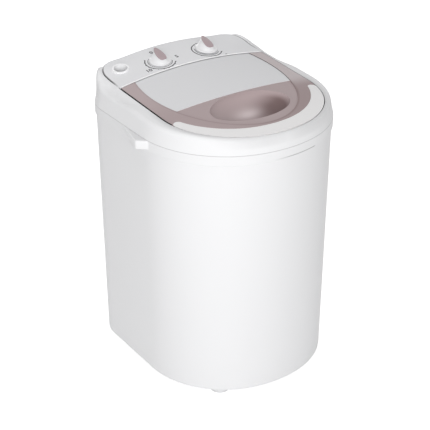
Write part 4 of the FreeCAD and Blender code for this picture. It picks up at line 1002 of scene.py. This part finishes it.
CAMERA_PLACE = (-1.1842, -1.7073, 1.4045)
CAMERA_TARGET = (0.0, 0.029, 0.24585)
CAMERA_LENS = 109.522
CAMERA_SENSOR = 36
CAMERA_SHIFT = (0.0029, 0.00939)
FLOOR_HALF = 30.0
FLOOR_LIFT = 0.7
FLOOR_GREY = (0.82, 0.82, 0.82, 1.0)
LIGHT_WHITE = (1.0, 1.0, 1.0, 1.0)
SKY_LIGHT = 0.39


def look_at(thing, target):
    """Turn a camera or lamp towards a point."""
    thing.rotation_euler = (Vector(target) - thing.location).to_track_quat("-Z", "Y").to_euler()


def studio_camera():
    """Camera at the photograph's viewing angle."""
    lens = bpy.data.cameras.new("camera")
    lens.sensor_width = CAMERA_SENSOR
    lens.lens = CAMERA_LENS
    lens.shift_x, lens.shift_y = CAMERA_SHIFT
    camera = bpy.data.objects.new("camera", lens)
    scene.collection.objects.link(camera)
    camera.location = CAMERA_PLACE
    look_at(camera, CAMERA_TARGET)
    scene.camera = camera


def straight_sight(board):
    """1 where the camera sees something itself, in a mirror or through glass."""
    seen, mirrored, through = board.node(
        "ShaderNodeLightPath", out=("Is Camera Ray", "Is Glossy Ray", "Is Transmission Ray"))
    return (seen + mirrored + through).at_most(1.0)


def studio_floor():
    """Pale floor that looks nearly white to the camera and keeps the shadow."""
    finish = Finish("studio_floor")
    finish.wear(Base_Color=FLOOR_GREY, Roughness=0.9, Specular_IOR_Level=0.0)
    lift = finish.node("ShaderNodeEmission", sockets={"Color": LIGHT_WHITE, "Strength": FLOOR_LIFT})
    dark = finish.node("ShaderNodeEmission", sockets={"Strength": 0.0})
    chosen = finish.node("ShaderNodeMixShader", sockets={0: straight_sight(finish), 1: dark, 2: lift})
    whole = finish.node("ShaderNodeAddShader", sockets={0: Wire(finish, finish.skin.outputs[0]), 1: chosen})
    finish.feed(finish.tree.nodes["Material Output"].inputs["Surface"], whole)
    mesh = bpy.data.meshes.new("floor")
    corners = [(x * FLOOR_HALF, y * FLOOR_HALF, 0.0) for x, y in ((-1, -1), (1, -1), (1, 1), (-1, 1))]
    mesh.from_pydata(corners, [], [(0, 1, 2, 3)])
    mesh.materials.append(finish.material)
    floor = bpy.data.objects.new("floor", mesh)
    scene.collection.objects.link(floor)


def soft_box(name, place, target, size, power, mirrored=True):
    """Square lamp; where mirrored is off, no gloss shows its picture."""
    data = bpy.data.lights.new(name, "AREA")
    data.shape = "SQUARE"
    data.size = size
    data.energy = power
    lamp = bpy.data.objects.new(name, data)
    scene.collection.objects.link(lamp)
    lamp.location = place
    lamp.visible_glossy = mirrored
    look_at(lamp, target)


def studio_sky():
    """Even sky light, white where it is seen."""
    world = bpy.data.worlds.new("studio")
    scene.world = world
    world.use_nodes = True
    sky = Board(world.node_tree)
    backdrop = world.node_tree.nodes["Background"]
    sky.feed(backdrop.inputs["Color"], LIGHT_WHITE)
    sky.feed(backdrop.inputs["Strength"], SKY_LIGHT + (1.0 - SKY_LIGHT) * straight_sight(sky))


studio_camera()
studio_floor()
soft_box("front_box", place=(-1.6, -2.32, 1.3), target=(0, 0, 0.3), size=1.5, power=54, mirrored=False)
soft_box("top_box", place=(-0.3, -0.1, 2.9), target=(0, 0, 0.5), size=1.6, power=16)
soft_box("back_box", place=(0.9, 2.5, 0.45), target=(0, 0.1, 0.25), size=1.2, power=14)
studio_sky()
